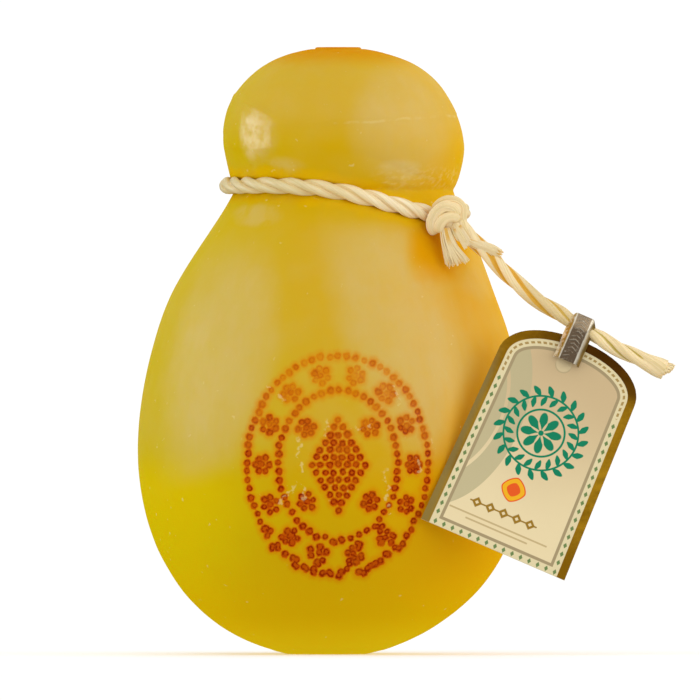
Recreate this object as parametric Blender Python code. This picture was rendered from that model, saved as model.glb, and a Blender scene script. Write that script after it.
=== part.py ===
"""A caciocavallo: a pear-shaped stretched-curd cheese with a round head, tied at the neck with a cord.

The cord is knotted at the front right of the neck. Its free end runs through a folded metal clip, which
holds an arched hang tag by its top. The cheese stands on the small flat spot under its belly.

Frame: metres, +Z up. The origin is on the flat spot, and the front, which shows the tag, faces -Y.
"""

import bisect
import math

import bmesh
import bpy
from mathutils import Matrix, Vector
from mathutils.geometry import interpolate_bezier

MM = 0.001

# The cheese, as a turned profile of radius and height.
FLAT_RADIUS = 14.0 * MM
BELLY_RADIUS = 70.7 * MM
BELLY_HEIGHT = 73.5 * MM
NECK_RADIUS = 39.6 * MM
NECK_HEIGHT = 168.8 * MM
HEAD_RADIUS = 43.8 * MM
HEAD_HEIGHT = 184.5 * MM
CROWN_RADIUS = 11.1 * MM
CROWN_HEIGHT = 219.6 * MM
SEAL_RADIUS = 7.6 * MM
SEAL_RISE = 0.7 * MM
SEAL_EDGE = 0.3 * MM
SEAL_CROWN = 0.1 * MM
DEPTH_RATIO = 0.97

# How the arcs of the profile leave and reach its turning points: radius and height from each point.
FLAT_LEAVES = (29.9 * MM, 6.3 * MM)
BELLY_REACHED = (0.0, -43.6 * MM)
BELLY_LEAVES = (0.0, 49.3 * MM)
NECK_REACHED = (5.9 * MM, -14.7 * MM)
NECK_LEAVES = (1.6 * MM, 1.3 * MM)
HEAD_REACHED = (0.0, -2.5 * MM)
HEAD_LEAVES = (0.0, 12.7 * MM)
CROWN_REACHED = (26.6 * MM, -4.8 * MM)

# How far the middle of the cheese wanders sideways: under the belly, at the shoulders and over the head.
BASE_SHIFT = -1.4 * MM
BELLY_SHIFT = 0.9 * MM
NECK_SHIFT = 5.0 * MM
CROWN_SHIFT = 2.4 * MM
BASE_TO_BELLY = (0.0, 55.0 * MM)
BELLY_TO_NECK = (125.0 * MM, 172.0 * MM)
NECK_TO_CROWN = (180.0 * MM, 220.0 * MM)

# The steps of the turned mesh: round it, and along each arc of its profile from the flat spot up.
PROFILE_SEGMENTS = 60
PROFILE_STEPS = (12, 30, 9, 14)
FINE_STEPS = (80, 120, 40, 80)

# Between these heights the mesh's rows follow the cord round the neck.
ROWS_JOIN_CORD = (118.0 * MM, 158.0 * MM)
ROWS_LEAVE_CORD = (178.0 * MM, 208.0 * MM)

# The cord round the neck: level at the back and drawn down towards the knot at the front right.
CORD_RADIUS = 3.1 * MM
CORD_PRESS = 1.7 * MM
CORD_ROUNDNESS = 3
GROOVE_GAP = 0.6 * MM
LOOP_HEIGHT = 170.3 * MM
LOOP_DIP = 11.0 * MM
LOOP_DIP_ANGLE = -35.0
LOOP_FRONT_SPREAD = 46.0
LOOP_BACK_SPREAD = 75.0
LOOP_START_ANGLE = -50.6
LOOP_END_ANGLE = -395.2
LOOP_POINTS = 60

# The knot.
KNOT_CENTRE = Vector((42.5, -34.5, 158.2)) * MM
KNOT_CORE = Vector((6.6, 5.6, 7.2)) * MM
KNOT_VOXEL = 1.1 * MM

# Its bands: points from its centre, radius, and depth as a share of width.
KNOT_BANDS = (
    (((5.4, -2.0, 1.6), (3.4, -2.6, 5.4), (-0.6, -2.8, 5.6),
      (-3.8, -2.9, 2.6), (-5.2, -3.0, -1.8), (-3.8, -2.4, -5.2)), 2.9 * MM, 1.0),
    (((4.6, -3.4, 0.4), (0.8, -5.4, 1.8), (-2.2, -5.4, -0.8), (-3.2, -4.2, -4.0)), 2.5 * MM, 1.0),
    (((3.4, -0.6, 5.4), (6.0, -1.0, 2.6), (6.0, -1.0, -1.4), (4.6, -1.2, -4.0)), 2.3 * MM, 1.0),
)

# Its short end, which fans out below it: the same, for three bundles of fibre.
KNOT_FAN = (
    (((-0.4, -2.2, -3.6), (0.4, -3.0, -8.0), (2.2, -3.2, -12.0)), 2.6 * MM, 0.72),
    (((0.8, -3.0, -6.0), (3.0, -3.4, -10.5), (5.4, -3.4, -15.0)), 2.3 * MM, 0.72),
    (((0.0, -2.8, -6.0), (0.9, -3.2, -10.5), (1.6, -3.3, -16.2)), 2.0 * MM, 0.72),
)

# The free end of the cord: points of its route from the knot, through the clip, to the frayed end.
TAIL_ROUTE = (
    (50.8, -35.2, 153.5),
    (55.0, -37.4, 149.1),
    (59.4, -39.8, 143.9),
    (66.7, -43.2, 135.6),
    (74.0, -45.6, 129.5),
    (81.8, -47.2, 124.3),
    (91.3, -48.3, 118.4),
    (100.4, -48.9, 113.6),
    (105.7, -49.1, 110.9),
    (113.0, -49.1, 107.2),
    (121.2, -48.9, 103.6),
)
TAIL_STEP = 4.0 * MM
TAIL_FLARE = 1.25
TAIL_FLARE_LENGTH = 12.0 * MM
TAIL_PINCH = 0.14
TAIL_PINCH_LENGTH = 9.0 * MM

# The hang tag: an arched card, leaning with its lower left corner near the belly.
TAG_CORNER = Vector((33.1, -62.2, 49.8)) * MM
TAG_TURN = 23.3
TAG_LEAN = 8.8
TAG_WIDTH = 57.0 * MM
TAG_SHOULDER_WIDTH = 54.0 * MM
TAG_SHOULDER_HEIGHT = 68.0 * MM
TAG_HEIGHT = 82.9 * MM
TAG_ARCH_POWER = 2.15
TAG_THICKNESS = 0.8 * MM
TAG_SETBACK = 1.8 * MM

# The clip: a strip folded over the cord and pinched on the top of the card.
CLIP_CENTRE = 25.8 * MM
CLIP_BOTTOM = 73.5 * MM
CLIP_TOP = 91.9 * MM
CLIP_FOLD = 86.5 * MM
CLIP_WIDTH = 10.0 * MM
CLIP_FACE_WIDTH = 5.6 * MM
CLIP_DEPTH = 8.8 * MM
CLIP_TOP_DEPTH = 5.0 * MM
CLIP_MOUTH_DEPTH = 5.6 * MM
CLIP_SETBACK = 0.5 * MM
CLEARANCE = 0.3 * MM


def smooth_step(low, high, value):
    """Runs smoothly from 0 at low to 1 at high."""
    share = min(max((value - low) / (high - low), 0.0), 1.0)
    return share * share * (3.0 - 2.0 * share)


def material(name, colour, roughness, metallic=0.0):
    """A Principled BSDF material of one colour."""
    made = bpy.data.materials.new(name)
    made.use_nodes = True
    shader = made.node_tree.nodes["Principled BSDF"]
    shader.inputs["Base Color"].default_value = (*colour, 1.0)
    shader.inputs["Roughness"].default_value = roughness
    shader.inputs["Metallic"].default_value = metallic
    return made


def object_from_bmesh(name, bm, finish, smooth=True):
    """Links a new object whose mesh is the bmesh, which is freed."""
    mesh = bpy.data.meshes.new(name)
    bm.to_mesh(mesh)
    bm.free()
    made = bpy.data.objects.new(name, mesh)
    bpy.context.scene.collection.objects.link(made)
    mesh.materials.append(finish)
    if smooth:
        mesh.shade_smooth()
        mesh.set_sharp_from_angle(angle=math.radians(35.0))
    return made


# ---- cheese ---------------------------------------------------------------------------------------------


def bezier(start, leaves, reached, end, count):
    """Points of one Bezier arc as (radius, height) pairs, without its first point."""
    first, last = Vector((*start, 0.0)), Vector((*end, 0.0))
    first_handle, last_handle = first + Vector((*leaves, 0.0)), last + Vector((*reached, 0.0))
    arc = interpolate_bezier(first, first_handle, last_handle, last, count + 1)
    return [(point.x, point.y) for point in arc[1:]]


def profile(steps):
    """The outline of the cheese from its flat spot to the edge of its crown, with the steps of each arc."""
    flat = (FLAT_RADIUS, 0.0)
    belly = (BELLY_RADIUS, BELLY_HEIGHT)
    neck = (NECK_RADIUS, NECK_HEIGHT)
    head = (HEAD_RADIUS, HEAD_HEIGHT)
    crown = (CROWN_RADIUS, CROWN_HEIGHT)
    return (
        [flat]
        + bezier(flat, FLAT_LEAVES, BELLY_REACHED, belly, steps[0])
        + bezier(belly, BELLY_LEAVES, NECK_REACHED, neck, steps[1])
        + bezier(neck, NECK_LEAVES, HEAD_REACHED, head, steps[2])
        + bezier(head, HEAD_LEAVES, CROWN_REACHED, crown, steps[3])
    )


FINE_PROFILE = profile(FINE_STEPS)
FINE_HEIGHTS = [height for _, height in FINE_PROFILE]


def natural_radius(height):
    """Radius of the cheese at a height, before the cord presses into it."""
    upper = min(max(bisect.bisect_left(FINE_HEIGHTS, height), 1), len(FINE_PROFILE) - 1)
    (low_radius, low), (high_radius, high) = FINE_PROFILE[upper - 1], FINE_PROFILE[upper]
    share = min(max((height - low) / (high - low), 0.0), 1.0)
    return low_radius + share * (high_radius - low_radius)


def middle_shift(height):
    """How far the middle of the cheese stands to the right at a height."""
    shift = BASE_SHIFT + (BELLY_SHIFT - BASE_SHIFT) * smooth_step(*BASE_TO_BELLY, height)
    shift += (NECK_SHIFT - BELLY_SHIFT) * smooth_step(*BELLY_TO_NECK, height)
    return shift + (CROWN_SHIFT - NECK_SHIFT) * smooth_step(*NECK_TO_CROWN, height)


def loop_dip(angle):
    """How far the cord loop is drawn down at an angle round the neck, in degrees."""
    turn = (angle - LOOP_DIP_ANGLE + 180.0) % 360.0 - 180.0
    spread = LOOP_BACK_SPREAD if turn > 0.0 else LOOP_FRONT_SPREAD
    return LOOP_DIP * math.exp(-((turn / spread) ** 2))


def loop_radius(height):
    """Distance of the cord's centre line from the middle of the cheese, where the cord runs at a height."""
    step = 1.0 * MM
    slope = (natural_radius(height - step) - natural_radius(height + step)) / (2.0 * step)
    return natural_radius(height) + CORD_RADIUS * math.hypot(1.0, slope) - CORD_PRESS


def grooved_radius(height, angle):
    """Radius of the cheese at a height and an angle, with the groove that the cord presses."""
    radius = natural_radius(height)
    loop_height = LOOP_HEIGHT - loop_dip(angle)
    reach = CORD_RADIUS + GROOVE_GAP
    offset = height - loop_height
    if abs(offset) >= reach:
        return radius
    return min(radius, loop_radius(loop_height) - math.sqrt(reach * reach - offset * offset))


def make_cheese(finish):
    """The turned body and head in one piece, shaped by the lean, the flat spots and the cord's groove."""
    seal_foot = CROWN_HEIGHT + SEAL_EDGE
    seal_top = seal_foot + SEAL_RISE
    outline = [(0.0, 0.0)] + profile(PROFILE_STEPS)
    outline += [
        (SEAL_RADIUS + SEAL_EDGE, seal_foot),
        (SEAL_RADIUS, seal_top),
        (SEAL_RADIUS / 2.0, seal_top + SEAL_CROWN),
        (0.0, seal_top + SEAL_CROWN),
    ]
    bm = bmesh.new()
    corners = [bm.verts.new((radius, 0.0, height)) for radius, height in outline]
    edges = [bm.edges.new(pair) for pair in zip(corners, corners[1:])]
    bmesh.ops.spin(
        bm, geom=corners + edges, cent=(0.0, 0.0, 0.0), axis=(0.0, 0.0, 1.0),
        angle=math.tau, steps=PROFILE_SEGMENTS, use_merge=True,
    )
    bmesh.ops.remove_doubles(bm, verts=bm.verts, dist=0.01 * MM)
    for vertex in bm.verts:
        radius = math.hypot(vertex.co.x, vertex.co.y)
        height = vertex.co.z
        angle = math.atan2(vertex.co.y, vertex.co.x)
        near_neck = smooth_step(*ROWS_JOIN_CORD, height) * (1.0 - smooth_step(*ROWS_LEAVE_CORD, height))
        if near_neck > 0.0:
            height -= (loop_dip(math.degrees(angle)) - (LOOP_HEIGHT - NECK_HEIGHT)) * near_neck
            radius = grooved_radius(height, math.degrees(angle))
        vertex.co.x = radius * math.cos(angle) + middle_shift(height)
        vertex.co.y = radius * math.sin(angle) * DEPTH_RATIO
        vertex.co.z = height
    bmesh.ops.recalc_face_normals(bm, faces=bm.faces)
    return object_from_bmesh("cheese", bm, finish)


# ---- cord -----------------------------------------------------------------------------------------------


def smooth_route(points, step):
    """Points about a step apart on the smooth curve through the given points (a Catmull-Rom curve)."""
    ends = [2.0 * points[0] - points[1]] + list(points) + [2.0 * points[-1] - points[-2]]
    route = [points[0].copy()]
    for before, start, end, after in zip(ends, ends[1:], ends[2:], ends[3:]):
        count = max(1, round((end - start).length / step))
        start_handle = start + (end - before) / 6.0
        end_handle = end - (after - start) / 6.0
        route += interpolate_bezier(start, start_handle, end_handle, end, count + 1)[1:]
    return route


def tube(name, route, radius, finish, swell=None):
    """A round tube along a route, as a curve with a bevel and filled caps; swell scales it at each point."""
    curve = bpy.data.curves.new(name, "CURVE")
    curve.dimensions = "3D"
    curve.bevel_depth = radius
    curve.bevel_resolution = CORD_ROUNDNESS
    curve.use_fill_caps = True
    curve.render_resolution_u = 0
    spline = curve.splines.new("POLY")
    spline.points.add(len(route) - 1)
    for index, (point, place) in enumerate(zip(spline.points, route)):
        point.co = (*place, 1.0)
        point.radius = swell[index] if swell else 1.0
    curve.materials.append(finish)
    made = bpy.data.objects.new(name, curve)
    bpy.context.scene.collection.objects.link(made)
    return made


def make_neck_cord(finish):
    """The loop of cord round the neck, from the knot's left side round the back to its right side."""
    route = []
    for index in range(LOOP_POINTS):
        angle = LOOP_START_ANGLE + (LOOP_END_ANGLE - LOOP_START_ANGLE) * index / (LOOP_POINTS - 1)
        height = LOOP_HEIGHT - loop_dip(angle)
        radius = loop_radius(height)
        turn = math.radians(angle)
        across = radius * math.cos(turn) + middle_shift(height)
        route.append(Vector((across, radius * math.sin(turn) * DEPTH_RATIO, height)))
    return tube("neck_cord", route, CORD_RADIUS, finish)


def tail_points():
    """The smooth route of the cord's free end."""
    return smooth_route([Vector(point) * MM for point in TAIL_ROUTE], TAIL_STEP)


def tail_swell(route):
    """The cord's share of its full radius along its free end: pinched in the clip, flared at the end."""
    clip_middle = tag_frame() @ Vector((CLIP_CENTRE, CLIP_FOLD, 0.0))
    shares = []
    for place in route:
        flare = 1.0 - smooth_step(0.0, TAIL_FLARE_LENGTH, (route[-1] - place).length)
        pinch = 1.0 - smooth_step(CLIP_WIDTH / 2.0, TAIL_PINCH_LENGTH, (clip_middle - place).length)
        shares.append(1.0 + (TAIL_FLARE - 1.0) * flare - TAIL_PINCH * pinch)
    return shares


def make_cord_tail(finish):
    """The free end of the cord, which passes through the clip and is frayed where it is cut."""
    route = tail_points()
    return tube("cord_tail", route, CORD_RADIUS, finish, tail_swell(route))


def knot_band(bm, route, radius, flatness):
    """Adds one fat band of the knot to a bmesh: a tube through points given from the knot's centre."""
    guide = [KNOT_CENTRE + Vector(point) * MM for point in route]
    path = smooth_route(guide, 2.0 * MM)
    rings = []
    for index, place in enumerate(path):
        ahead = path[min(index + 1, len(path) - 1)] - path[max(index - 1, 0)]
        turn = ahead.to_track_quat("Z", "Y").to_matrix().to_4x4()
        size = Matrix.Diagonal((radius, radius * flatness, 1.0, 1.0))
        ring = bmesh.ops.create_circle(bm, cap_ends=False, segments=10, radius=1.0)["verts"]
        bmesh.ops.transform(bm, matrix=Matrix.Translation(place) @ turn @ size, verts=ring)
        rings.append(ring)
    loops = [list({edge for vertex in ring for edge in vertex.link_edges}) for ring in rings]
    for lower, upper in zip(loops, loops[1:]):
        bmesh.ops.bridge_loops(bm, edges=lower + upper)
    for end in (loops[0], loops[-1]):
        bmesh.ops.holes_fill(bm, edges=end)


def make_knot(finish):
    """The knot: a core under three fat bands, with the short frayed end fanning out below them."""
    bm = bmesh.new()
    core = bmesh.ops.create_icosphere(bm, subdivisions=3, radius=1.0)["verts"]
    size = Matrix.Translation(KNOT_CENTRE) @ Matrix.Diagonal((*KNOT_CORE, 1.0))
    bmesh.ops.transform(bm, matrix=size, verts=core)
    for route, radius, flatness in KNOT_BANDS + KNOT_FAN:
        knot_band(bm, route, radius, flatness)
    bmesh.ops.recalc_face_normals(bm, faces=bm.faces)
    knot = object_from_bmesh("knot", bm, finish, smooth=False)
    fuse = knot.modifiers.new("fuse the bands", "REMESH")
    fuse.mode = "VOXEL"
    fuse.voxel_size = KNOT_VOXEL
    fuse.use_smooth_shade = True
    return knot


# ---- tag and clip ---------------------------------------------------------------------------------------


def tag_frame():
    """Places the card's own axes: right along its lower edge, up its left side and out of its face."""
    turn = math.radians(TAG_TURN)
    lean = math.radians(TAG_LEAN)
    right = Vector((math.cos(turn), 0.0, -math.sin(turn)))
    upright = Vector((math.sin(turn), 0.0, math.cos(turn)))
    up = upright * math.cos(lean) + Vector((0.0, math.sin(lean), 0.0))
    frame = Matrix((right, up, right.cross(up))).transposed().to_4x4()
    frame.translation = TAG_CORNER
    return frame


def tag_outline(arch_count):
    """The card's outline, from its lower left corner up and over the arch to its lower right corner."""
    middle = TAG_WIDTH / 2.0
    rise = TAG_HEIGHT - TAG_SHOULDER_HEIGHT
    points = [(0.0, 0.0)]
    for index in range(arch_count + 1):
        turn = math.pi * (1.0 - index / arch_count)
        across = math.copysign(abs(math.cos(turn)) ** (2.0 / TAG_ARCH_POWER), math.cos(turn))
        points.append((
            middle + TAG_SHOULDER_WIDTH / 2.0 * across,
            TAG_SHOULDER_HEIGHT + rise * math.sin(turn) ** (2.0 / TAG_ARCH_POWER),
        ))
    points.append((TAG_WIDTH, 0.0))
    return points


def make_tag(finish):
    """The arched card, set back from the cord so that the cord passes in front of its top."""
    bm = bmesh.new()
    back = -TAG_SETBACK - TAG_THICKNESS / 2.0
    corners = [bm.verts.new((across, up, back)) for across, up in tag_outline(28)]
    face = bm.faces.new(corners)
    grown = bmesh.ops.extrude_face_region(bm, geom=[face])["geom"]
    front = [item for item in grown if isinstance(item, bmesh.types.BMVert)]
    bmesh.ops.translate(bm, vec=(0.0, 0.0, TAG_THICKNESS), verts=front)
    bmesh.ops.recalc_face_normals(bm, faces=bm.faces)
    bmesh.ops.transform(bm, matrix=tag_frame(), verts=bm.verts)
    return object_from_bmesh("tag", bm, finish)


def trim(bm, place, facing):
    """Cuts away what lies beyond a plane and closes the cut."""
    everything = bm.verts[:] + bm.edges[:] + bm.faces[:]
    cut = bmesh.ops.bisect_plane(
        bm, geom=everything, dist=0.0001 * MM, plane_co=place, plane_no=facing, clear_outer=True
    )
    rim = [item for item in cut["geom_cut"] if isinstance(item, bmesh.types.BMEdge)]
    bmesh.ops.holes_fill(bm, edges=rim)


def cutter(name, bm):
    """A hidden object that only cuts."""
    made = object_from_bmesh(name, bm, bpy.data.materials[0], smooth=False)
    made.hide_render = True
    made.display_type = "WIRE"
    return made


def make_clip(finish):
    """The folded clip: a tapered block with the cord's passage and the card's slot cut through it."""
    length = CLIP_TOP - CLIP_BOTTOM
    middle = Vector((CLIP_CENTRE, (CLIP_TOP + CLIP_BOTTOM) / 2.0, -CLIP_SETBACK))
    size = Matrix.Diagonal((CLIP_WIDTH, length, CLIP_DEPTH, 1.0))
    bm = bmesh.new()
    bmesh.ops.create_cube(bm, size=1.0, matrix=Matrix.Translation(middle) @ size)
    half_depth = CLIP_DEPTH / 2.0
    flange_run = (CLIP_WIDTH - CLIP_FACE_WIDTH) / 2.0
    shoulder_drop = CLIP_TOP - CLIP_FOLD
    top_run = (CLIP_DEPTH - CLIP_TOP_DEPTH) / 2.0
    mouth_run = (CLIP_DEPTH - CLIP_MOUTH_DEPTH) / 2.0
    for side in (-1.0, 1.0):
        face = side * half_depth - CLIP_SETBACK
        fold = (CLIP_CENTRE, CLIP_FOLD, face)
        trim(bm, fold, Vector((0.0, top_run, side * shoulder_drop)))
        trim(bm, fold, Vector((0.0, -mouth_run, side * (CLIP_FOLD - CLIP_BOTTOM))))
        for hand in (-1.0, 1.0):
            edge = (CLIP_CENTRE + hand * CLIP_FACE_WIDTH / 2.0, CLIP_FOLD, face)
            trim(bm, edge, Vector((hand * (half_depth - 0.8 * MM), 0.0, side * flange_run)))
    bmesh.ops.recalc_face_normals(bm, faces=bm.faces)
    bmesh.ops.transform(bm, matrix=tag_frame(), verts=bm.verts)
    clip = object_from_bmesh("clip", bm, finish, smooth=False)

    slot = bmesh.new()
    slot_top = CLIP_FOLD
    slot_low = CLIP_BOTTOM - 2.0 * MM
    slot_place = Matrix.Translation((CLIP_CENTRE, (slot_top + slot_low) / 2.0, -TAG_SETBACK))
    slot_depth = TAG_THICKNESS + 2.0 * CLEARANCE
    slot_size = Matrix.Diagonal((CLIP_WIDTH * 1.5, slot_top - slot_low, slot_depth, 1.0))
    bmesh.ops.create_cube(slot, size=1.0, matrix=tag_frame() @ slot_place @ slot_size)

    passage = tube("cord_passage", tail_points(), CORD_RADIUS * (1.0 - TAIL_PINCH) + CLEARANCE, finish)
    bpy.context.view_layer.update()
    evaluated = passage.evaluated_get(bpy.context.evaluated_depsgraph_get())
    bored = bmesh.new()
    bored.from_mesh(bpy.data.meshes.new_from_object(evaluated))
    bpy.data.objects.remove(passage)
    bmesh.ops.remove_doubles(bored, verts=bored.verts, dist=0.001 * MM)

    for hole in (cutter("card_slot", slot), cutter("cord_passage", bored)):
        cut = clip.modifiers.new(hole.name, "BOOLEAN")
        cut.operation = "DIFFERENCE"
        cut.solver = "EXACT"
        cut.object = hole
    return clip


def main():
    """Clears the scene and builds the cheese, its cord, the clip and the tag."""
    for old in list(bpy.data.objects):
        bpy.data.objects.remove(old)
    rind = material("rind", (0.63, 0.40, 0.035), 0.38)
    twine = material("twine", (0.72, 0.56, 0.28), 0.62)
    card = material("card", (0.68, 0.54, 0.31), 0.35)
    tinplate = material("tinplate", (0.52, 0.46, 0.36), 0.28, 1.0)
    make_cheese(rind)
    make_neck_cord(twine)
    make_knot(twine)
    make_cord_tail(twine)
    make_tag(card)
    make_clip(tinplate)


main()
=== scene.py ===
"""Dresses the caciocavallo: a waxy, pear-shaped cheese on a laid cord, with a clip and a hang tag.

Frame: metres, +Z up. The origin is on the flat spot under the belly, and the front faces -Y.
"""

from __future__ import annotations

import logging
import math
import random
from dataclasses import dataclass
from enum import Enum
from typing import Any, Callable, Sequence

import bmesh
import bpy
import numpy as np
from bmesh.types import BMEdge, BMesh
from bpy.types import Material, NodeSocket, Object
from mathutils import Matrix, Vector, noise

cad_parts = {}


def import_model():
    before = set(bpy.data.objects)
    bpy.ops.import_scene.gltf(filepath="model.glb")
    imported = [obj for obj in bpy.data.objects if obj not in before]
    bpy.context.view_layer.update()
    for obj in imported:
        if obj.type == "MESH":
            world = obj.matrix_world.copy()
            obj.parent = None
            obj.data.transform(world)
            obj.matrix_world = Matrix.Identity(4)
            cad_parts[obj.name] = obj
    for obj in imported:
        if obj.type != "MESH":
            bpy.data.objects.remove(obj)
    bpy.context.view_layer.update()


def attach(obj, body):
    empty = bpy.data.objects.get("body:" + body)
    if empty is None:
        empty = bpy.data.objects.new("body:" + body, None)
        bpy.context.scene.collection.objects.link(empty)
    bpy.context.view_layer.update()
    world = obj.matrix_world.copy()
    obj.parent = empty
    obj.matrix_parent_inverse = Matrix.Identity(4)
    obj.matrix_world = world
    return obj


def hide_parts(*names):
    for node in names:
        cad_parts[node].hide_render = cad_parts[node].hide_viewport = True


MM = 0.001
ROOT = "root"
CHART_UNIT = 100.0 * MM
WELD = 0.001 * MM
LOG = logging.getLogger("caciocavallo")

Colour = tuple[float, float, float]
Point = tuple[float, float, float]
Pair = tuple[float, float]
Section = Callable[[float, int], tuple[float, float, float]]


# ---- small tools ----


def smooth_step(low: float, high: float, value: Any) -> Any:
    """Runs smoothly from 0 at low to 1 at high, which may be the lower of the two."""
    share = np.clip((value - low) / (high - low), 0.0, 1.0)
    return share * share * (3.0 - 2.0 * share)


def bell(value: Any, middle: float, width: float) -> Any:
    """A bell curve of height 1, which has dropped to about a third at its width from its middle."""
    return np.exp(-(((value - middle) / width) ** 2))


def smooth_route(points: Sequence[Vector], step: float) -> list[Vector]:
    """Points along the smooth curve through the given points (a Catmull-Rom curve).

    Args:
        points: The points that the curve passes through.
        step: About how far apart the new points are, in metres.

    Returns:
        The points of the curve, both ends included.
    """
    ends = [2.0 * points[0] - points[1], *points, 2.0 * points[-1] - points[-2]]
    route = [points[0].copy()]
    for before, start, end, after in zip(ends, ends[1:], ends[2:], ends[3:]):
        count = max(1, round((end - start).length / step))
        for index in range(1, count + 1):
            share = index / count
            route.append(0.5 * (
                2.0 * start + (end - before) * share
                + (2.0 * before - 5.0 * start + 4.0 * end - after) * share**2
                + (3.0 * start - before - 3.0 * end + after) * share**3
            ))
    return route


def route_length(route: Sequence[Vector]) -> float:
    """The length of a route, in metres."""
    return sum((after - before).length for before, after in zip(route, route[1:]))


def carried_frames(route: Sequence[Vector], facing: Vector = Vector((0.0, 0.0, 1.0))) -> list[Matrix]:
    """Frames carried along a route without needless twist.

    Args:
        route: The points that the frames stand at.
        facing: What the X axis of the first frame leans towards, at an angle to the route.

    Returns:
        One frame for each point, whose Z axis runs along the route.
    """
    tangent = (route[1] - route[0]).normalized()
    outward = (facing - tangent * facing.dot(tangent)).normalized()
    frames = []
    for index, place in enumerate(route):
        ahead = (route[min(index + 1, len(route) - 1)] - route[max(index - 1, 0)]).normalized()
        outward = (tangent.rotation_difference(ahead) @ outward).normalized()
        tangent = ahead
        frame = Matrix((outward, tangent.cross(outward), tangent)).transposed().to_4x4()
        frame.translation = place
        frames.append(frame)
    return frames


def sweep(
    bm: BMesh, route: Sequence[Vector], frames: Sequence[Matrix], columns: int, section: Section
) -> None:
    """Lofts a closed skin along a route, with a UV map that runs round and along it.

    Args:
        bm: The bmesh that gets the skin.
        route: The points that the skin follows.
        frames: The frames at those points.
        columns: How many faces there are round it.
        section: Gives the two offsets from the route and the depth of the crease at a share of the way
            round and at the index of a point of the route.
    """
    uv_map = bm.loops.layers.uv.verify()
    crease = bm.verts.layers.float.get("crease") or bm.verts.layers.float.new("crease")
    rings = len(route) - 1
    length = route_length(route)
    sheet = bmesh.ops.create_grid(bm, x_segments=columns, y_segments=rings, size=1.0)["verts"]
    for face in {face for vertex in sheet for face in vertex.link_faces}:
        for corner in face.loops:
            around, along = corner.vert.co.x, corner.vert.co.y
            corner[uv_map].uv = ((around + 1.0) / 2.0, (along + 1.0) / 2.0 * length / CHART_UNIT)
    for vertex in sheet:
        ring = round((vertex.co.y + 1.0) / 2.0 * rings)
        across, out, depth = section((vertex.co.x + 1.0) / 2.0, ring)
        vertex.co = frames[ring] @ Vector((across, out, 0.0))
        # The depth of the crease, by which the twine paints its shade into the gaps.
        vertex[crease] = depth
    seam = [vertex for vertex in sheet if any(len(edge.link_faces) == 1 for edge in vertex.link_edges)]
    bmesh.ops.remove_doubles(bm, verts=seam, dist=WELD)
    skin = [vertex for vertex in sheet if vertex.is_valid]
    rims = list({edge for vertex in skin for edge in vertex.link_edges if len(edge.link_faces) == 1})
    bmesh.ops.holes_fill(bm, edges=rims)


def line_distance(across: np.ndarray, up: np.ndarray, line: Sequence[Pair]) -> np.ndarray:
    """Distance of points in a plane from a line of straight stretches.

    Args:
        across: The points' places across.
        up: Their places up.
        line: The corners of the line.

    Returns:
        The distance of each point.
    """
    nearest = np.full(len(across), np.inf)
    for (x0, y0), (x1, y1) in zip(line, line[1:]):
        run, rise = x1 - x0, y1 - y0
        share = np.clip(((across - x0) * run + (up - y0) * rise) / (run * run + rise * rise), 0.0, 1.0)
        nearest = np.minimum(nearest, np.hypot(across - x0 - share * run, up - y0 - share * rise))
    return nearest


def cut_away(bm: BMesh, place: Sequence[float], facing: Sequence[float]) -> list[BMEdge]:
    """Cuts away what lies beyond a plane.

    Args:
        bm: The bmesh.
        place: A point of the plane.
        facing: The plane's normal, towards what goes.

    Returns:
        The edges of the cut.
    """
    cut = bmesh.ops.bisect_plane(
        bm, geom=bm.verts[:] + bm.edges[:] + bm.faces[:], dist=0.1 * WELD,
        plane_co=place, plane_no=facing, clear_outer=True,
    )
    return [item for item in cut["geom_cut"] if isinstance(item, BMEdge)]


def chart_flat(bm: BMesh) -> None:
    """Writes a UV map that shows the bmesh from above, before it is turned into place."""
    uv_map = bm.loops.layers.uv.verify()
    for face in bm.faces:
        for corner in face.loops:
            corner[uv_map].uv = (corner.vert.co.x / CHART_UNIT, corner.vert.co.y / CHART_UNIT)


def object_from(name: str, bm: BMesh, finish: Material, sharp_angle: float = 40.0) -> Object:
    """Links a new object whose mesh is the bmesh, which is freed.

    Args:
        name: The object's name.
        bm: The finished mesh.
        finish: Its material.
        sharp_angle: Edges bent by more degrees than this stay sharp.

    Returns:
        The object.
    """
    mesh = bpy.data.meshes.new(name)
    bm.to_mesh(mesh)
    bm.free()
    mesh.materials.append(finish)
    mesh.shade_smooth()
    mesh.set_sharp_from_angle(angle=math.radians(sharp_angle))
    made = bpy.data.objects.new(name, mesh)
    bpy.context.scene.collection.objects.link(made)
    return made


def piece_from(
    name: str, bm: BMesh, finish: Material, slot: str, *nodes: str, sharp_angle: float = 40.0
) -> Object:
    """Makes a piece of the object from a closed bmesh and fixes it to the object's body.

    Args:
        name: The piece's name.
        bm: The finished mesh, which is freed.
        finish: Its material.
        slot: The name of a material slot; not used.
        nodes: The CAD nodes that it stands for.
        sharp_angle: Edges bent by more degrees than this stay sharp.

    Returns:
        The piece.
    """
    bmesh.ops.recalc_face_normals(bm, faces=bm.faces)
    piece = object_from(name, bm, finish, sharp_angle)
    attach(piece, ROOT)
    if nodes:
        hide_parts(*nodes)
    stands_for = ", ".join(nodes) or "nothing"
    LOG.info("%s: %d faces, stands for %s", piece.name, len(piece.data.polygons), stands_for)
    return piece


# ---- shader expressions ----


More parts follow.
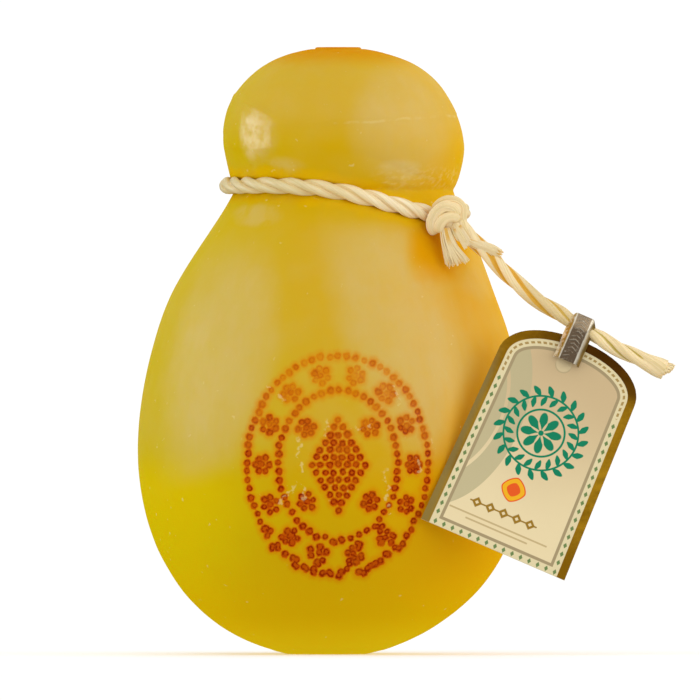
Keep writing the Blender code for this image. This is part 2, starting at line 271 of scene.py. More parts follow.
class Value:
    """A shader socket that Python's operators can work with."""

    def __init__(self, nodes: Nodes, socket: NodeSocket) -> None:
        """Wraps an output of one of the material's nodes."""
        self.nodes = nodes
        self.socket = socket

    def maths(self, operation: str, *items: Any) -> Value:
        """Adds a Math node, whose inputs are values or numbers."""
        return self.nodes.node("ShaderNodeMath", {"operation": operation}, dict(enumerate(items)))

    def __add__(self, other: Any) -> Value:
        """The sum."""
        return self.maths("ADD", self, other)

    def __radd__(self, other: Any) -> Value:
        """The sum, from a number."""
        return self.maths("ADD", other, self)

    def __sub__(self, other: Any) -> Value:
        """The difference."""
        return self.maths("SUBTRACT", self, other)

    def __rsub__(self, other: Any) -> Value:
        """The difference, from a number."""
        return self.maths("SUBTRACT", other, self)

    def __mul__(self, other: Any) -> Value:
        """The product."""
        return self.maths("MULTIPLY", self, other)

    def __rmul__(self, other: Any) -> Value:
        """The product, from a number."""
        return self.maths("MULTIPLY", other, self)

    def __truediv__(self, other: Any) -> Value:
        """The quotient."""
        return self.maths("DIVIDE", self, other)

    def __abs__(self) -> Value:
        """The size without its sign."""
        return self.maths("ABSOLUTE", self)

    def __mod__(self, other: float) -> Value:
        """The remainder, never below 0."""
        return self.maths("FLOORED_MODULO", self, other)

    def __pow__(self, other: float) -> Value:
        """The power."""
        return self.maths("POWER", self, other)

    def least(self, other: Any) -> Value:
        """The lower of the two."""
        return self.maths("MINIMUM", self, other)

    def most(self, other: Any) -> Value:
        """The higher of the two."""
        return self.maths("MAXIMUM", self, other)

    def rise(self, low: float, high: float) -> Value:
        """Runs smoothly from 0 at low to 1 at high."""
        return self._ramp(low, high, 0.0, 1.0)

    def fall(self, low: float, high: float) -> Value:
        """Runs smoothly from 1 at low to 0 at high."""
        return self._ramp(low, high, 1.0, 0.0)

    def edge(self, at: float, soft: float) -> Value:
        """Falls from 1 to 0 at a value, softly over a little on both sides of it."""
        return self.fall(at - soft, at + soft)

    def _ramp(self, low: float, high: float, start: float, end: float) -> Value:
        """Adds a smooth Map Range node, which gives the start at low and the end at high."""
        settings = {"interpolation_type": "SMOOTHSTEP"}
        return self.nodes.node("ShaderNodeMapRange", settings, {0: self, 1: low, 2: high, 3: start, 4: end})


class Nodes:
    """The nodes of one material, with its Principled BSDF as the surface."""

    def __init__(self, name: str) -> None:
        """Makes the material, under this name."""
        self.material = bpy.data.materials.new(name)
        self.material.use_nodes = True
        self.tree = self.material.node_tree
        self.surface = self.tree.nodes["Principled BSDF"]

    def feed(self, socket: NodeSocket, item: Any) -> None:
        """Links a value to a socket, or sets the socket.

        Args:
            socket: The input.
            item: A Value, a number, or the numbers of a colour or vector.
        """
        if isinstance(item, Value):
            self.tree.links.new(item.socket, socket)
        elif socket.type == "RGBA":
            socket.default_value = (*item, 1.0)
        else:
            socket.default_value = item

    def node(self, kind: str, settings: dict[str, Any], sockets: dict[Any, Any], output: Any = 0) -> Value:
        """Adds a node.

        Args:
            kind: The node's type.
            settings: What is set on it first, such as a Math node's operation.
            sockets: Values or links of its inputs, by name or place.
            output: The name or place of the output that is returned.

        Returns:
            The output.
        """
        made = self.tree.nodes.new(kind)
        for name, setting in settings.items():
            setattr(made, name, setting)
        for name, item in sockets.items():
            self.feed(made.inputs[name], item)
        return Value(self, made.outputs[output])

    def place(self) -> Value:
        """The point on the piece, in metres."""
        return self.node("ShaderNodeTexCoord", {}, {}, "Object")

    def chart(self) -> Value:
        """The point on the piece's UV map."""
        return self.node("ShaderNodeTexCoord", {}, {}, "UV")

    def painted(self, name: str) -> Value:
        """A number that the mesh holds at each point."""
        return self.node("ShaderNodeAttribute", {"attribute_name": name}, {}, "Fac")

    def parts(self, vector: Value, scale: float = 1.0) -> tuple[Value, Value, Value]:
        """Splits a vector.

        Args:
            vector: The vector.
            scale: What each part is multiplied by.

        Returns:
            The three parts.
        """
        scaled = self.node("ShaderNodeVectorMath", {"operation": "SCALE"}, {"Vector": vector, "Scale": scale})
        split = self.node("ShaderNodeSeparateXYZ", {}, {0: scaled})
        outputs = split.socket.node.outputs
        return Value(self, outputs[0]), Value(self, outputs[1]), Value(self, outputs[2])

    def stretched(self, vector: Value, scale: Point, turn: Point = (0.0, 0.0, 0.0)) -> Value:
        """Turns a vector, by radians about each axis, and scales it along each axis."""
        return self.node("ShaderNodeMapping", {}, {"Vector": vector, "Rotation": turn, "Scale": scale})

    def cloud(self, vector: Value, scale: float, detail: float = 2.0, rough: float = 0.5) -> Value:
        """Soft noise from 0 to 1, read at a vector, with finer layers (detail) of some strength (rough)."""
        sockets = {"Vector": vector, "Scale": scale, "Detail": detail, "Roughness": rough}
        return self.node("ShaderNodeTexNoise", {}, sockets)

    def mix(self, share: Any, first: Any, second: Any) -> Value:
        """Mixes two colours, with this share of the second."""
        return self.node("ShaderNodeMix", {"data_type": "RGBA"}, {0: share, 6: first, 7: second}, 2)

    def bump(self, height: Value, distance: float, strength: float) -> Value:
        """A normal for relief from 0 to 1, whose 1 is this many metres high, shown at a strength."""
        return self.node("ShaderNodeBump", {}, {"Strength": strength, "Distance": distance, "Height": height})

    def dress(self, **sockets: Any) -> Material:
        """Sets the surface's sockets, whose names are written with _ for a space.

        Args:
            sockets: Values, numbers or colours by socket.

        Returns:
            The material.
        """
        for name, item in sockets.items():
            self.feed(self.surface.inputs[name.replace("_", " ")], item)
        return self.material


# ---- finishes ----


@dataclass(frozen=True)
class Patch:
    """A soft oval patch of the rind.

    Attributes:
        middle: Its middle, in millimetres to the right and up.
        wide: Half its width, in millimetres.
        high: Half its height, in millimetres.
        lean: How far it leans to the left for each step up.
    """

    middle: Pair
    wide: float
    high: float
    lean: float = 0.0


@dataclass(frozen=True)
class RindSpot:
    """The point of the rind that a colour is worked out for.

    Attributes:
        nodes: The rind's nodes.
        place: The point, in metres.
        x: Millimetres to the right.
        y: Millimetres to the back.
        z: Millimetres up.
        broad: Slow noise, from 0 to 1.
        wander: The same noise, in millimetres to both sides.
        patch: Finer noise, from 0 to 1.
    """

    nodes: Nodes
    place: Value
    x: Value
    y: Value
    z: Value
    broad: Value
    wander: Value
    patch: Value

    def pool(self, patch: Patch) -> Value:
        """The share of a soft oval patch, 1 in its middle, with an uneven edge.

        Args:
            patch: Its place and size.

        Returns:
            The share.
        """
        x, z = patch.middle
        across = (self.x + self.wander * 0.25 - x + (self.z - z) * patch.lean) / patch.wide
        up = (self.z + self.wander * 0.25 - z) / patch.high
        return (across * across + up * up).fall(0.1, 1.0)

    def pools(self, patches: Sequence[Patch]) -> Value:
        """The share of the strongest of some patches.

        Args:
            patches: Their places and sizes.

        Returns:
            The share.
        """
        share = self.pool(patches[0])
        for patch in patches[1:]:
            share = share.most(self.pool(patch))
        return share


@dataclass(frozen=True)
class Rind:
    """Waxy rind: olive on the left, golden in the middle and amber on the right, with painted reflections as
    milky patches, and painted light and shade round the cord, the knot, the card and the bottom.
    """

    olive: Colour = (0.60, 0.44, 0.003)
    golden: Colour = (0.65, 0.40, 0.003)
    lemon: Colour = (0.70, 0.51, 0.002)
    amber: Colour = (0.76, 0.365, 0.003)
    # Pale colour of the painted reflections, and of a faint cloudiness.
    milk_and_reflection: Colour = (0.68, 0.51, 0.19)
    # Painted light: lifts the bottom and fills the cord's shade.
    painted_light_honey: Colour = (0.79, 0.46, 0.001)
    # Painted light on the bottom rim.
    straw: Colour = (0.90, 0.60, 0.006)
    # Painted shadow of the card.
    deep: Colour = (0.66, 0.30, 0.001)
    # Painted shadow of the knot.
    knot_shadow_orange: Colour = (0.73, 0.30, 0.001)
    chalk: Colour = (0.86, 0.76, 0.36)
    scorch: Colour = (0.57, 0.088, 0.002)
    char: Colour = (0.27, 0.012, 0.001)
    toast: Colour = (0.70, 0.25, 0.002)

    amber_side: Pair = (4.0, 60.0)
    olive_side: Pair = (-58.0, 2.0)
    lemon_side: Pair = (-52.0, -14.0)
    lemon_height: Pair = (58.0, 78.0)
    # Heights below which painted light lifts the bottom, and then its rim.
    bottom_light_height: Pair = (2.0, 44.0)
    bottom_rim_light_height: Pair = (1.0, 16.0)
    head_height: Pair = (150.0, 175.0)
    neck_height: Pair = (152.0, 160.0)
    crown_height: Pair = (209.0, 220.0)
    front_half: Pair = (-22.0, 14.0)
    front_face: Pair = (-12.0, 0.0)

    # Pools of painted reflection of the soft boxes, from the belly to the sills; the brow only takes the
    # coat.
    belly: Patch = Patch((-41.0, 105.0), 24.0, 52.0, -0.20)
    shoulder: Patch = Patch((25.0, 119.0), 26.0, 66.0, 0.26)
    side: Patch = Patch((50.0, 112.0), 20.0, 32.0)
    side_top: Patch = Patch((55.0, 138.0), 8.5, 12.0)
    crest: Patch = Patch((27.0, 192.0), 23.0, 27.0)
    brow: Patch = Patch((-25.6, 189.2), 8.3, 13.2)
    sills: tuple[Patch, ...] = (
        Patch((-18.0, 176.0), 11.0, 5.0), Patch((-26.0, 159.6), 10.5, 5.2), Patch((24.0, 175.0), 10.0, 5.0),
    )
    # Where the knot's shadow is painted as a deep orange glow.
    glow: Patch = Patch((38.5, 148.0), 11.0, 16.0)
    seam_height: float = 192.3
    seam_slope: float = 0.07

    def material(self, knot: Vector, card: Vector, card_lean: float) -> Material:
        """Makes the rind.

        Args:
            knot: The middle of the knot, beside which the painted reflections and the coat are left out, as
                painted shade.
            card: The lower left corner of the card, along whose left side the card's shadow is painted in
                deep amber.
            card_lean: How far that side runs to the right for each step up.

        Returns:
            The material.
        """
        nodes = Nodes("rind")
        place = nodes.place()
        x, y, z = nodes.parts(place, 1.0 / MM)
        broad = nodes.cloud(place, 26.0, 2.0)
        patch = nodes.cloud(place, 80.0, 4.0, 0.55)
        spot = RindSpot(nodes, place, x, y, z, broad, (broad - 0.5) * 34.0, patch)
        ripple = nodes.cloud(nodes.stretched(place, (1.0, 1.0, 0.24), (0.0, 0.6, 0.0)), 180.0, 4.0, 0.65)
        # Painted shade: how near a point lies to the cord, which shades it.
        cord_shade = (nodes.painted("cord_distance") + (patch - 0.5) * 5.0).fall(0.5, 5.0)
        below_neck = z.fall(*self.neck_height) * y.fall(*self.front_half)
        crown = z.rise(*self.crown_height) ** 2.0

        # Painted shade beside and below the knot, and under the cord: the painted reflections and the coat
        # are left out there.
        aside = x - knot.x / MM + (patch - 0.5) * 5.0
        knot_shade = aside.rise(-17.0, -10.0) * aside.fall(0.0, 8.0) * z.rise(133.0, 145.0)
        clear = (1.0 - cord_shade) * (1.0 - knot_shade * below_neck)
        # Painted reflections of the soft boxes, as pale milky pools.
        milk_and_reflection, bloom = self._painted_reflections(spot, ripple.rise(0.3, 0.7) * 0.2)
        tone = nodes.mix(milk_and_reflection * clear * (1.0 - crown), self._ground(spot), self.milk_and_reflection)

        # Painted light: the cord's shade is filled with a golden-yellow glow.
        tone = nodes.mix(cord_shade * 0.7, tone, self.painted_light_honey)
        # Painted shadow of the knot, as a deep orange glow.
        tone = nodes.mix(self._knot_shadow_share(spot) * below_neck * 0.72, tone, self.knot_shadow_orange)
        # Painted shadow of the card, in deep amber.
        tone = nodes.mix(self._card_shade(spot, card, card_lean) * 0.75, tone, self.deep)
        tone = nodes.mix(crown * 0.85, tone, self.toast)
        tone = self._creased(spot, tone)
        tone, burnt = self._scorched(nodes, tone, place)
        ragged = (nodes.cloud(place, 430.0, 4.0, 0.6) - 0.45) * 5.0
        flake = (nodes.painted("flake_distance") + ragged).fall(0.1, 0.8)
        tone = nodes.mix(flake * 0.36, tone, self.chalk)

        mottle = 0.35 + nodes.cloud(place, 230.0, 4.0, 0.6).rise(0.30, 0.62)
        below_head = z.fall(*self.head_height)
        roughness = 0.36 + below_head * 0.08 + burnt * 0.18 + flake * 0.2 + (patch - 0.5) * 0.16
        relief = nodes.cloud(place, 1400.0, 3.0, 0.6) * 0.3 + patch * 0.9 + ripple * 0.5 + flake * 0.7
        return nodes.dress(
            Base_Color=tone, Roughness=roughness, Normal=nodes.bump(relief, 0.10 * MM, 0.6),
            Subsurface_Weight=0.3, Subsurface_Radius=(1.0, 0.5, 0.12), Subsurface_Scale=5.0 * MM,
            Specular_IOR_Level=0.0, Coat_Weight=bloom * clear * (1.0 - crown) * mottle, Coat_Roughness=0.21,
        )

    def _ground(self, spot: RindSpot) -> Value:
        """The ground colour: olive on the left, amber on the right, lemon low on the left, and painted light
        low down, which lifts the bottom and, most, its rim.

        Args:
            spot: The point of the rind.

        Returns:
            The colour.
        """
        nodes, z = spot.nodes, spot.z
        drift = spot.x + spot.wander
        tone = nodes.mix(drift.fall(*self.olive_side), self.golden, self.olive)
        amber = drift.rise(*self.amber_side) * (1.0 - z.rise(*self.head_height) * 0.4)
        tone = nodes.mix(amber, tone, self.amber)
        tone = nodes.mix(drift.fall(*self.lemon_side) * z.fall(*self.lemon_height), tone, self.lemon)
        # Painted light: the bottom is lifted to a warmer, lighter yellow, and its rim to a paler one still.
        tone = nodes.mix(z.fall(*self.bottom_light_height) * 0.9, tone, self.painted_light_honey)
        return nodes.mix(z.fall(*self.bottom_rim_light_height) * 0.7, tone, self.straw)

    def _painted_reflections(self, spot: RindSpot, streak: Value) -> tuple[Value, Value]:
        """Where the rind is painted pale: painted reflections of the soft boxes in milky pools on the front,
        and a broad milky haze behind.

        Args:
            spot: The point of the rind.
            streak: Slanting streaks, from 0 to 0.2.

        Returns:
            The share of the pale colour for the painted reflections, and that of the shiny bloom (the coat).
        """
        x, z, wander = spot.x, spot.z, spot.wander
        belly = spot.pool(self.belly) * (z - x * 0.24 + wander * 0.12).rise(70.0, 81.0)
        belly = belly * (x + wander * 0.1).rise(-69.0, -47.0)
        shoulder = spot.pool(self.shoulder) * (z + wander * 0.12).rise(62.0, 75.0) * z.fall(150.0, 160.0)
        side = spot.pool(self.side) + spot.pool(self.side_top) * 1.7
        crest = spot.pool(self.crest)
        sill = spot.pools(self.sills) * spot.patch.rise(0.36, 0.60)
        above = (z + wander * 0.15).rise(62.0, 84.0) * z.fall(146.0, 165.0) + z.rise(182.0, 200.0) * 2.0
        milk_and_reflection = above * 0.085 + belly * 0.43 + shoulder * 0.43 + side * 0.13 + crest * 0.33 + sill * 0.34
        bloom = above * 0.03 + belly * 0.07 + shoulder * 0.12 + crest * 0.18 + spot.pool(self.brow) * 1.15
        haze = spot.broad.rise(0.40, 0.66) * (z + wander * 0.3).rise(52.0, 82.0) * 0.26
        front = spot.y.fall(*self.front_half)
        return milk_and_reflection * (0.62 + spot.patch * 0.6 + streak) * front + haze * (1.0 - front), bloom

    def _knot_shadow_share(self, spot: RindSpot) -> Value:
        """The share of the knot's shadow, painted as a deep orange glow beside it."""
        x, z = self.glow.middle
        across, up = (spot.x + spot.wander * 0.2 - x) / self.glow.wide, (spot.z - z) / self.glow.high
        return (across * across + up * up + (spot.patch - 0.5) * 0.8).fall(0.0, 1.3)

    def _card_shade(self, spot: RindSpot, card: Vector, card_lean: float) -> Value:
        """The share of the card's shadow, painted in deep amber along its left side.

        Args:
            spot: The point of the rind.
            card: The card's lower left corner.
            card_lean: How far its left side runs to the right for each step up.

        Returns:
            The share.
        """
        beside = (spot.z - card.z / MM) * card_lean - (spot.x - card.x / MM)
        along = spot.z.rise(46.0, 58.0) * spot.z.fall(92.0, 122.0) * spot.y.fall(*self.front_face)
        return (beside + spot.wander * 0.1).fall(0.0, 9.0) * beside.rise(-22.0, -6.0) * along

    def _creased(self, spot: RindSpot, tone: Value) -> Value:
        """Adds the chalky seam of the head, the crimps over the cord, the specks and a faint cloudiness.

        Args:
            spot: The point of the rind.
            tone: The colour so far.

        Returns:
            The new colour.
        """
        nodes, place, x, z = spot.nodes, spot.place, spot.x, spot.z
        face = spot.y.fall(*self.front_face)
        off_seam = abs(z - x * self.seam_slope - self.seam_height + (spot.patch - 0.5) * 2.4)
        broken = nodes.cloud(place, 190.0, 3.0).rise(0.42, 0.64)
        seam = off_seam.fall(0.15, 0.75) * (x + spot.wander).rise(-16.0, 6.0) * broken
        tone = nodes.mix(seam * face * 0.2, tone, self.chalk)
        crimp = nodes.cloud(nodes.stretched(place, (0.13, 1.0, 1.0), (0.0, 0.36, 0.0)), 620.0, 2.0, 0.5)
        over_cord = x.rise(12.0, 22.0) * z.rise(167.0, 171.0) * z.fall(174.0, 179.0) * face
        tone = nodes.mix(crimp.rise(0.45, 0.72) * over_cord * 0.17, tone, self.chalk)
        speck = nodes.cloud(place, 420.0, 2.0, 0.4).rise(0.72, 0.80)
        tone = nodes.mix(speck * 0.30, tone, self.chalk)
        return nodes.mix(spot.patch.rise(0.35, 0.75) * z.rise(50.0, 80.0) * 0.06, tone, self.milk_and_reflection)

    def _scorched(self, nodes: Nodes, tone: Value, place: Value) -> tuple[Value, Value]:
        """Burns the dots into the rind's colour.

        Args:
            nodes: The rind's nodes.
            tone: The colour so far.
            place: The point on the cheese.

        Returns:
            The colour with the dots, and how burnt it is.
        """
        jitter = (nodes.cloud(place, 620.0, 3.0, 0.6) - 0.5) * 0.95
        distance = nodes.painted("dot_distance") + jitter
        heat = nodes.painted("dot_heat")
        halo = distance.fall(0.8, 2.8) * heat.rise(0.0, 0.5)
        disc = distance.fall(0.90, 1.35)
        broken = 0.30 + nodes.cloud(place, 760.0, 2.0).rise(0.40, 0.56) * 0.7
        ring = abs(distance - 0.66).fall(0.08, 0.34) * broken
        tone = nodes.mix(halo * 0.75, tone, self.toast)
        fill = nodes.mix(heat.rise(0.15, 0.85), self.toast, self.scorch)
        edge = nodes.mix(heat.rise(0.3, 0.9), self.scorch, self.char)
        fill = nodes.mix(ring * (0.55 + heat * 0.35), fill, edge)
        tone = nodes.mix(disc * (0.60 + heat * 0.40), tone, fill)
        return tone, disc * heat


@dataclass(frozen=True)
class Twine:
    """Pale plant fibre, laid in smooth strands, with painted amber shade in the gaps between them and painted
    light on the cord beside the knot.
    """

    cream: Colour = (0.78, 0.655, 0.35)
    straw: Colour = (0.66, 0.50, 0.17)
    # Painted shade in the creases between the strands.
    amber: Colour = (0.78, 0.40, 0.012)
    warm: Colour = (0.96, 0.76, 0.43)
    # Painted light on the shaded cord beside the knot.
    painted_light: Colour = (1.0, 0.85, 0.58)
    dusk: Colour = (0.79, 0.60, 0.295)
    # Painted shade in the creases of the tail.
    olive_crease_shade: Colour = (0.58, 0.43, 0.08)
    # Painted shade in the deepest creases.
    deep_crease_shade: Colour = (0.30, 0.17, 0.06)

    warm_side: Pair = (-22.0, 30.0)
    painted_light_from: Pair = (4.0, 22.0)
    painted_light_to: Pair = (34.0, 42.0)
    dusk_from: Pair = (66.0, 74.0)
    dusk_to: Pair = (85.0, 100.0)
    # Where the painted crease shade turns olive.
    olive_shade_side: Pair = (66.0, 98.0)

    def material(self, name: str, gaps: float, lines: float, relief_height: float) -> Material:
        """Makes the fibre.

        Args:
            name: The material's name.
            gaps: How strongly the painted amber shade shows in the gaps between the strands.
            lines: How many fine lines there are round a strand.
            relief_height: How high they are, in metres.

        Returns:
            The material.
        """
        nodes = Nodes(name)
        place = nodes.place()
        x, _, _ = nodes.parts(place, 1.0 / MM)
        chart = nodes.chart()
        hair = nodes.cloud(nodes.stretched(chart, (lines, lines * 0.06, 1.0)), 1.0, 3.0, 0.65)
        ribbon = nodes.cloud(nodes.stretched(chart, (lines / 3.0, lines * 0.04, 1.0)), 1.0, 2.0, 0.5)
        mottle = nodes.cloud(place, 160.0, 3.0)
        crease = nodes.painted("crease")

        tone = nodes.mix(x.rise(*self.warm_side), self.cream, self.warm)
        # Painted light on the stretch of cord beside the knot, which lies in shade.
        tone = nodes.mix(x.rise(*self.painted_light_from) * x.fall(*self.painted_light_to) * 0.85, tone, self.painted_light)
        tone = nodes.mix(x.rise(*self.dusk_from) * x.fall(*self.dusk_to), tone, self.dusk)
        tone = nodes.mix(hair.fall(0.34, 0.54) * 0.5, tone, self.straw)
        tone = nodes.mix(ribbon.fall(0.3, 0.55) * 0.35, tone, self.straw)
        tone = nodes.mix(mottle.rise(0.5, 0.8) * 0.2, tone, self.warm)
        # Painted shade in the creases: amber, olive on the tail, and darkest in the deepest creases.
        olive_side_share = x.rise(*self.olive_shade_side)
        gap = (crease + (hair - 0.5) * 0.3 - olive_side_share * 0.45).rise(0.75 - 0.2 * gaps, 1.1 - 0.2 * gaps)
        tone = nodes.mix(gap * gaps, tone, nodes.mix(olive_side_share, self.amber, self.olive_crease_shade))
        tone = nodes.mix(crease.rise(1.4, 2.6) * (1.0 - gaps) * 0.6, tone, self.deep_crease_shade)
        relief = hair * 0.6 + ribbon * 0.8
        return nodes.dress(
            Base_Color=tone, Roughness=0.36 + hair * 0.2, Normal=nodes.bump(relief, relief_height, 0.9),
            Subsurface_Weight=0.12, Subsurface_Radius=(1.0, 0.7, 0.35), Subsurface_Scale=1.2 * MM,
            Sheen_Weight=0.06, Sheen_Roughness=0.4,
        )


@dataclass(frozen=True)
class PrintLayout:
    """The sizes and places of the card's print, in millimetres across and up the card."""

    soft: float = 0.07
    foil_width: float = 3.1
    band_width: float = 2.7
    rule_width: float = 1.1
    lozenge: Pair = (0.72, 1.10)
    lozenge_pitch: float = 3.35
    side_row_end: float = 60.3
    dash_middle: Pair = (28.2, 58.0)
    dashes_per_radian: float = 11.0
    ripple_middle: Pair = (-4.0, 44.0)
    ripple_pitch: float = 8.2
    ripple_reach: float = 24.0
    ripple_squash: float = 0.62
    wreath_middle: Pair = (27.6, 46.0)
    wreath_radius: float = 13.6
    leaf_offset: float = 1.9
    leaf_lean: float = 0.55
    leaves: int = 20
    petals: int = 8
    rosette_radius: float = 4.3
    rosette_ring: float = 8.6
    badge_middle: Pair = (26.6, 23.0)
    badge_radius: float = 4.7
    badge_power: float = 1.5
    ornament_up: float = 13.6
    ornament_half: float = 13.0
    diamond_pitch: float = 5.2
    fine_rules: tuple[Pair, ...] = ((8.6, 19.0), (6.8, 12.0))


@dataclass(frozen=True)
class PrintSpot:
    """The point of the card that a colour is worked out for.

    Attributes:
        nodes: The card's nodes.
        across: Millimetres along the card's lower edge.
        up: Millimetres up the card.
        rim: Millimetres from the card's side or arch.
    """

    nodes: Nodes
    across: Value
    up: Value
    rim: Value

    def from_point(self, point: Pair) -> tuple[Value, Value, Value]:
        """Millimetres to the right of a point, millimetres above it and the distance from it."""
        aside, above = self.across - point[0], self.up - point[1]
        return aside, above, (aside * aside + above * above) ** 0.5


@dataclass(frozen=True)
class Card:
    """Glossy printed card with a foil border and a plain, generic print."""

    layout: PrintLayout = PrintLayout()

    shade: Colour = (0.64, 0.48, 0.265)
    cream: Colour = (0.85, 0.705, 0.415)
    pale: Colour = (0.79, 0.68, 0.40)
    sage: Colour = (0.53, 0.465, 0.262)
    line: Colour = (0.40, 0.31, 0.165)
    teal: Colour = (0.0005, 0.225, 0.108)
    orange: Colour = (0.84, 0.105, 0.010)
    yellow: Colour = (0.92, 0.47, 0.010)
    gold: Colour = (0.34, 0.185, 0.014)
    green: Colour = (0.09, 0.20, 0.045)
    foil: Colour = (0.62, 0.33, 0.014)
    tarnish: Colour = (0.40, 0.19, 0.006)
    glare: Colour = (0.42, 0.32, 0.11)
    umber: Colour = (0.13, 0.045, 0.003)

    def material(self, tag: TagShape) -> Material:
        """Makes the card.

        Args:
            tag: The sizes of the card.

        Returns:
            The material.
        """
        nodes = Nodes("card")
        place = nodes.place()
        across, up, _ = nodes.parts(nodes.chart(), CHART_UNIT / MM)
        spot = PrintSpot(nodes, across, up, nodes.painted("rim_distance"))
        layout, soft = self.layout, self.layout.soft

        front = nodes.painted("front").rise(0.6, 0.9)
        foil = spot.rim.edge(layout.foil_width, soft)
        inner = spot.rim.least(up + layout.foil_width)
        band_end = layout.foil_width + layout.band_width
        rule = abs(inner - band_end - layout.rule_width / 2.0).edge(layout.rule_width / 2.0, soft)
        panel = 1.0 - inner.fall(band_end, band_end + 2.0 * soft)

        lower = (up + (nodes.cloud(place, 24.0) - 0.5) * 16.0).fall(12.0, 68.0)
        tone = nodes.mix(lower, self.shade, self.cream)
        tone = nodes.mix(self._ripples(spot) * panel, tone, self.sage)
        tone = nodes.mix(inner.edge(band_end, soft), tone, self.pale)
        tone = nodes.mix(rule, tone, self.line)
        tone = nodes.mix(self._lozenges(spot), tone, self.green)
        tone = nodes.mix(self._dashes(spot), tone, self.gold)
        tone = nodes.mix(self._wreath(spot), tone, self.teal)
        tone = self._badge(spot, tone)
        tone = nodes.mix(self._ornament(spot), tone, self.gold)
        tone = self._boss(spot, tone, tag)

        streak = nodes.cloud(place, 38.0, 2.0, 0.5) * 0.85 + nodes.cloud(place, 900.0, 2.0, 0.5) * 0.15
        tone = nodes.mix(foil, tone, self._foil(spot, streak))
        tone = nodes.mix(1.0 - front, tone, self.pale)
        foil = foil * front
        scuff = nodes.cloud(place, 700.0, 3.0, 0.6)
        return nodes.dress(
            Base_Color=tone, Metallic=foil * 0.85, Roughness=0.34 + scuff * 0.10,
            Normal=nodes.bump(scuff * 0.3 + streak * foil * 0.6, 0.12 * MM, 0.4),
            Specular_IOR_Level=0.1, Coat_Weight=(1.0 - foil) * 0.14, Coat_Roughness=0.22,
        )

    def _foil(self, spot: PrintSpot, streak: Value) -> Value:
        """The foil's colour: streaked, with a glare at the upper left and a dark stretch beside the clip.

        Args:
            spot: The point of the card.
            streak: Its streaks, from 0 to 1.

        Returns:
            The colour.
        """
        across, up = spot.across, spot.up
        tone = spot.nodes.mix(streak.rise(0.36, 0.60), self.tarnish, self.foil)
        tone = spot.nodes.mix(across.fall(1.5, 4.5) * up.fall(56.0, 74.0) * 0.7, tone, self.glare)
        by_clip = across.rise(7.0, 16.0) * 0.75 + across.rise(28.0, 32.0) * across.fall(35.0, 56.0) * 0.45
        return spot.nodes.mix(by_clip * up.rise(66.0, 74.0), tone, self.umber)

    def _ripples(self, spot: PrintSpot) -> Value:
        """The share of sage: broad pale ripples that spread from the card's left edge.

        Args:
            spot: The point of the card.

        Returns:
            The share.
        """
        layout = self.layout
        from_left = spot.across - layout.ripple_middle[0]
        from_middle = (spot.up - layout.ripple_middle[1]) * layout.ripple_squash
        reach = (from_left * from_left + from_middle * from_middle) ** 0.5
        wave = abs(reach % layout.ripple_pitch - layout.ripple_pitch / 2.0)
        half = layout.ripple_pitch * 0.42
        within = reach.fall(layout.ripple_reach, layout.ripple_reach + 0.3)
        return wave.fall(half, half + 2.0 * layout.soft) * within * 0.85

    def _boss(self, spot: PrintSpot, tone: Value, tag: TagShape) -> Value:
        """The pale round bump under the clip's mouth, with painted shade along the lower half of its rim.

        Args:
            spot: The point of the card.
            tone: The colour so far.
            tag: The sizes of the card.

        Returns:
            The colour with the bump.
        """
        _, above, reach = spot.from_point((tag.boss_place[0] / MM, tag.boss_place[1] / MM))
        edge = tag.boss_radius / MM
        tone = spot.nodes.mix(reach.edge(edge, 0.1) * 0.45, tone, self.pale)
        # Painted shade along the lower half of the rim.
        rim = abs(reach - edge).fall(0.1, 0.35) * above.fall(-1.5, 0.5)
        return spot.nodes.mix(rim * 0.45, tone, self.line)

    def _lozenges(self, spot: PrintSpot) -> Value:
        """The share of green: small lozenges in a row up both sides and along the bottom.

        Args:
            spot: The point of the card.

        Returns:
            The share.
        """
        layout = self.layout
        middle = layout.foil_width + layout.band_width * 0.5
        half_wide, half_high = layout.lozenge

        def row(along: Value, aside: Value, long: float, short: float) -> Value:
            """One row of lozenges, from the place along it and the distance from its middle line."""
            step = abs(along % layout.lozenge_pitch - layout.lozenge_pitch / 2.0)
            return (step / long + abs(aside) / short).fall(0.85, 1.15)

        sides = row(spot.up, spot.rim - middle, half_high, half_wide)
        sides = sides * spot.up.fall(layout.side_row_end, layout.side_row_end + 0.2)
        sides = sides * spot.up.rise(layout.band_width, layout.band_width + 0.2)
        bottom = row(spot.across, spot.up - layout.band_width * 0.5, half_wide, half_high)
        bottom = bottom * spot.rim.rise(layout.foil_width + 0.1, layout.foil_width + 0.3)
        return sides.most(bottom) * 0.9

    def _dashes(self, spot: PrintSpot) -> Value:
        """The share of gold: a line of short dashes in the band over the arch.

        Args:
            spot: The point of the card.

        Returns:
            The share.
        """
        layout = self.layout
        aside, above, _ = spot.from_point(layout.dash_middle)
        step = abs(above.maths("ARCTAN2", above, aside) * layout.dashes_per_radian % 1.0 - 0.5)
        off_middle = abs(spot.rim - layout.foil_width - layout.band_width * 0.5)
        over_rows = spot.up.rise(layout.side_row_end + 1.0, layout.side_row_end + 1.4)
        return step.fall(0.27, 0.33) * off_middle.fall(0.35, 0.5) * over_rows * 0.8

    def _wreath(self, spot: PrintSpot) -> Value:
        """The share of teal: a wreath of leaves round an open rosette.

        Args:
            spot: The point of the card.

        Returns:
            The share.
        """
        layout = self.layout
        aside, above, reach = spot.from_point(layout.wreath_middle)
        turn = above.maths("ARCTAN2", above, aside)
        sector = math.tau / layout.leaves

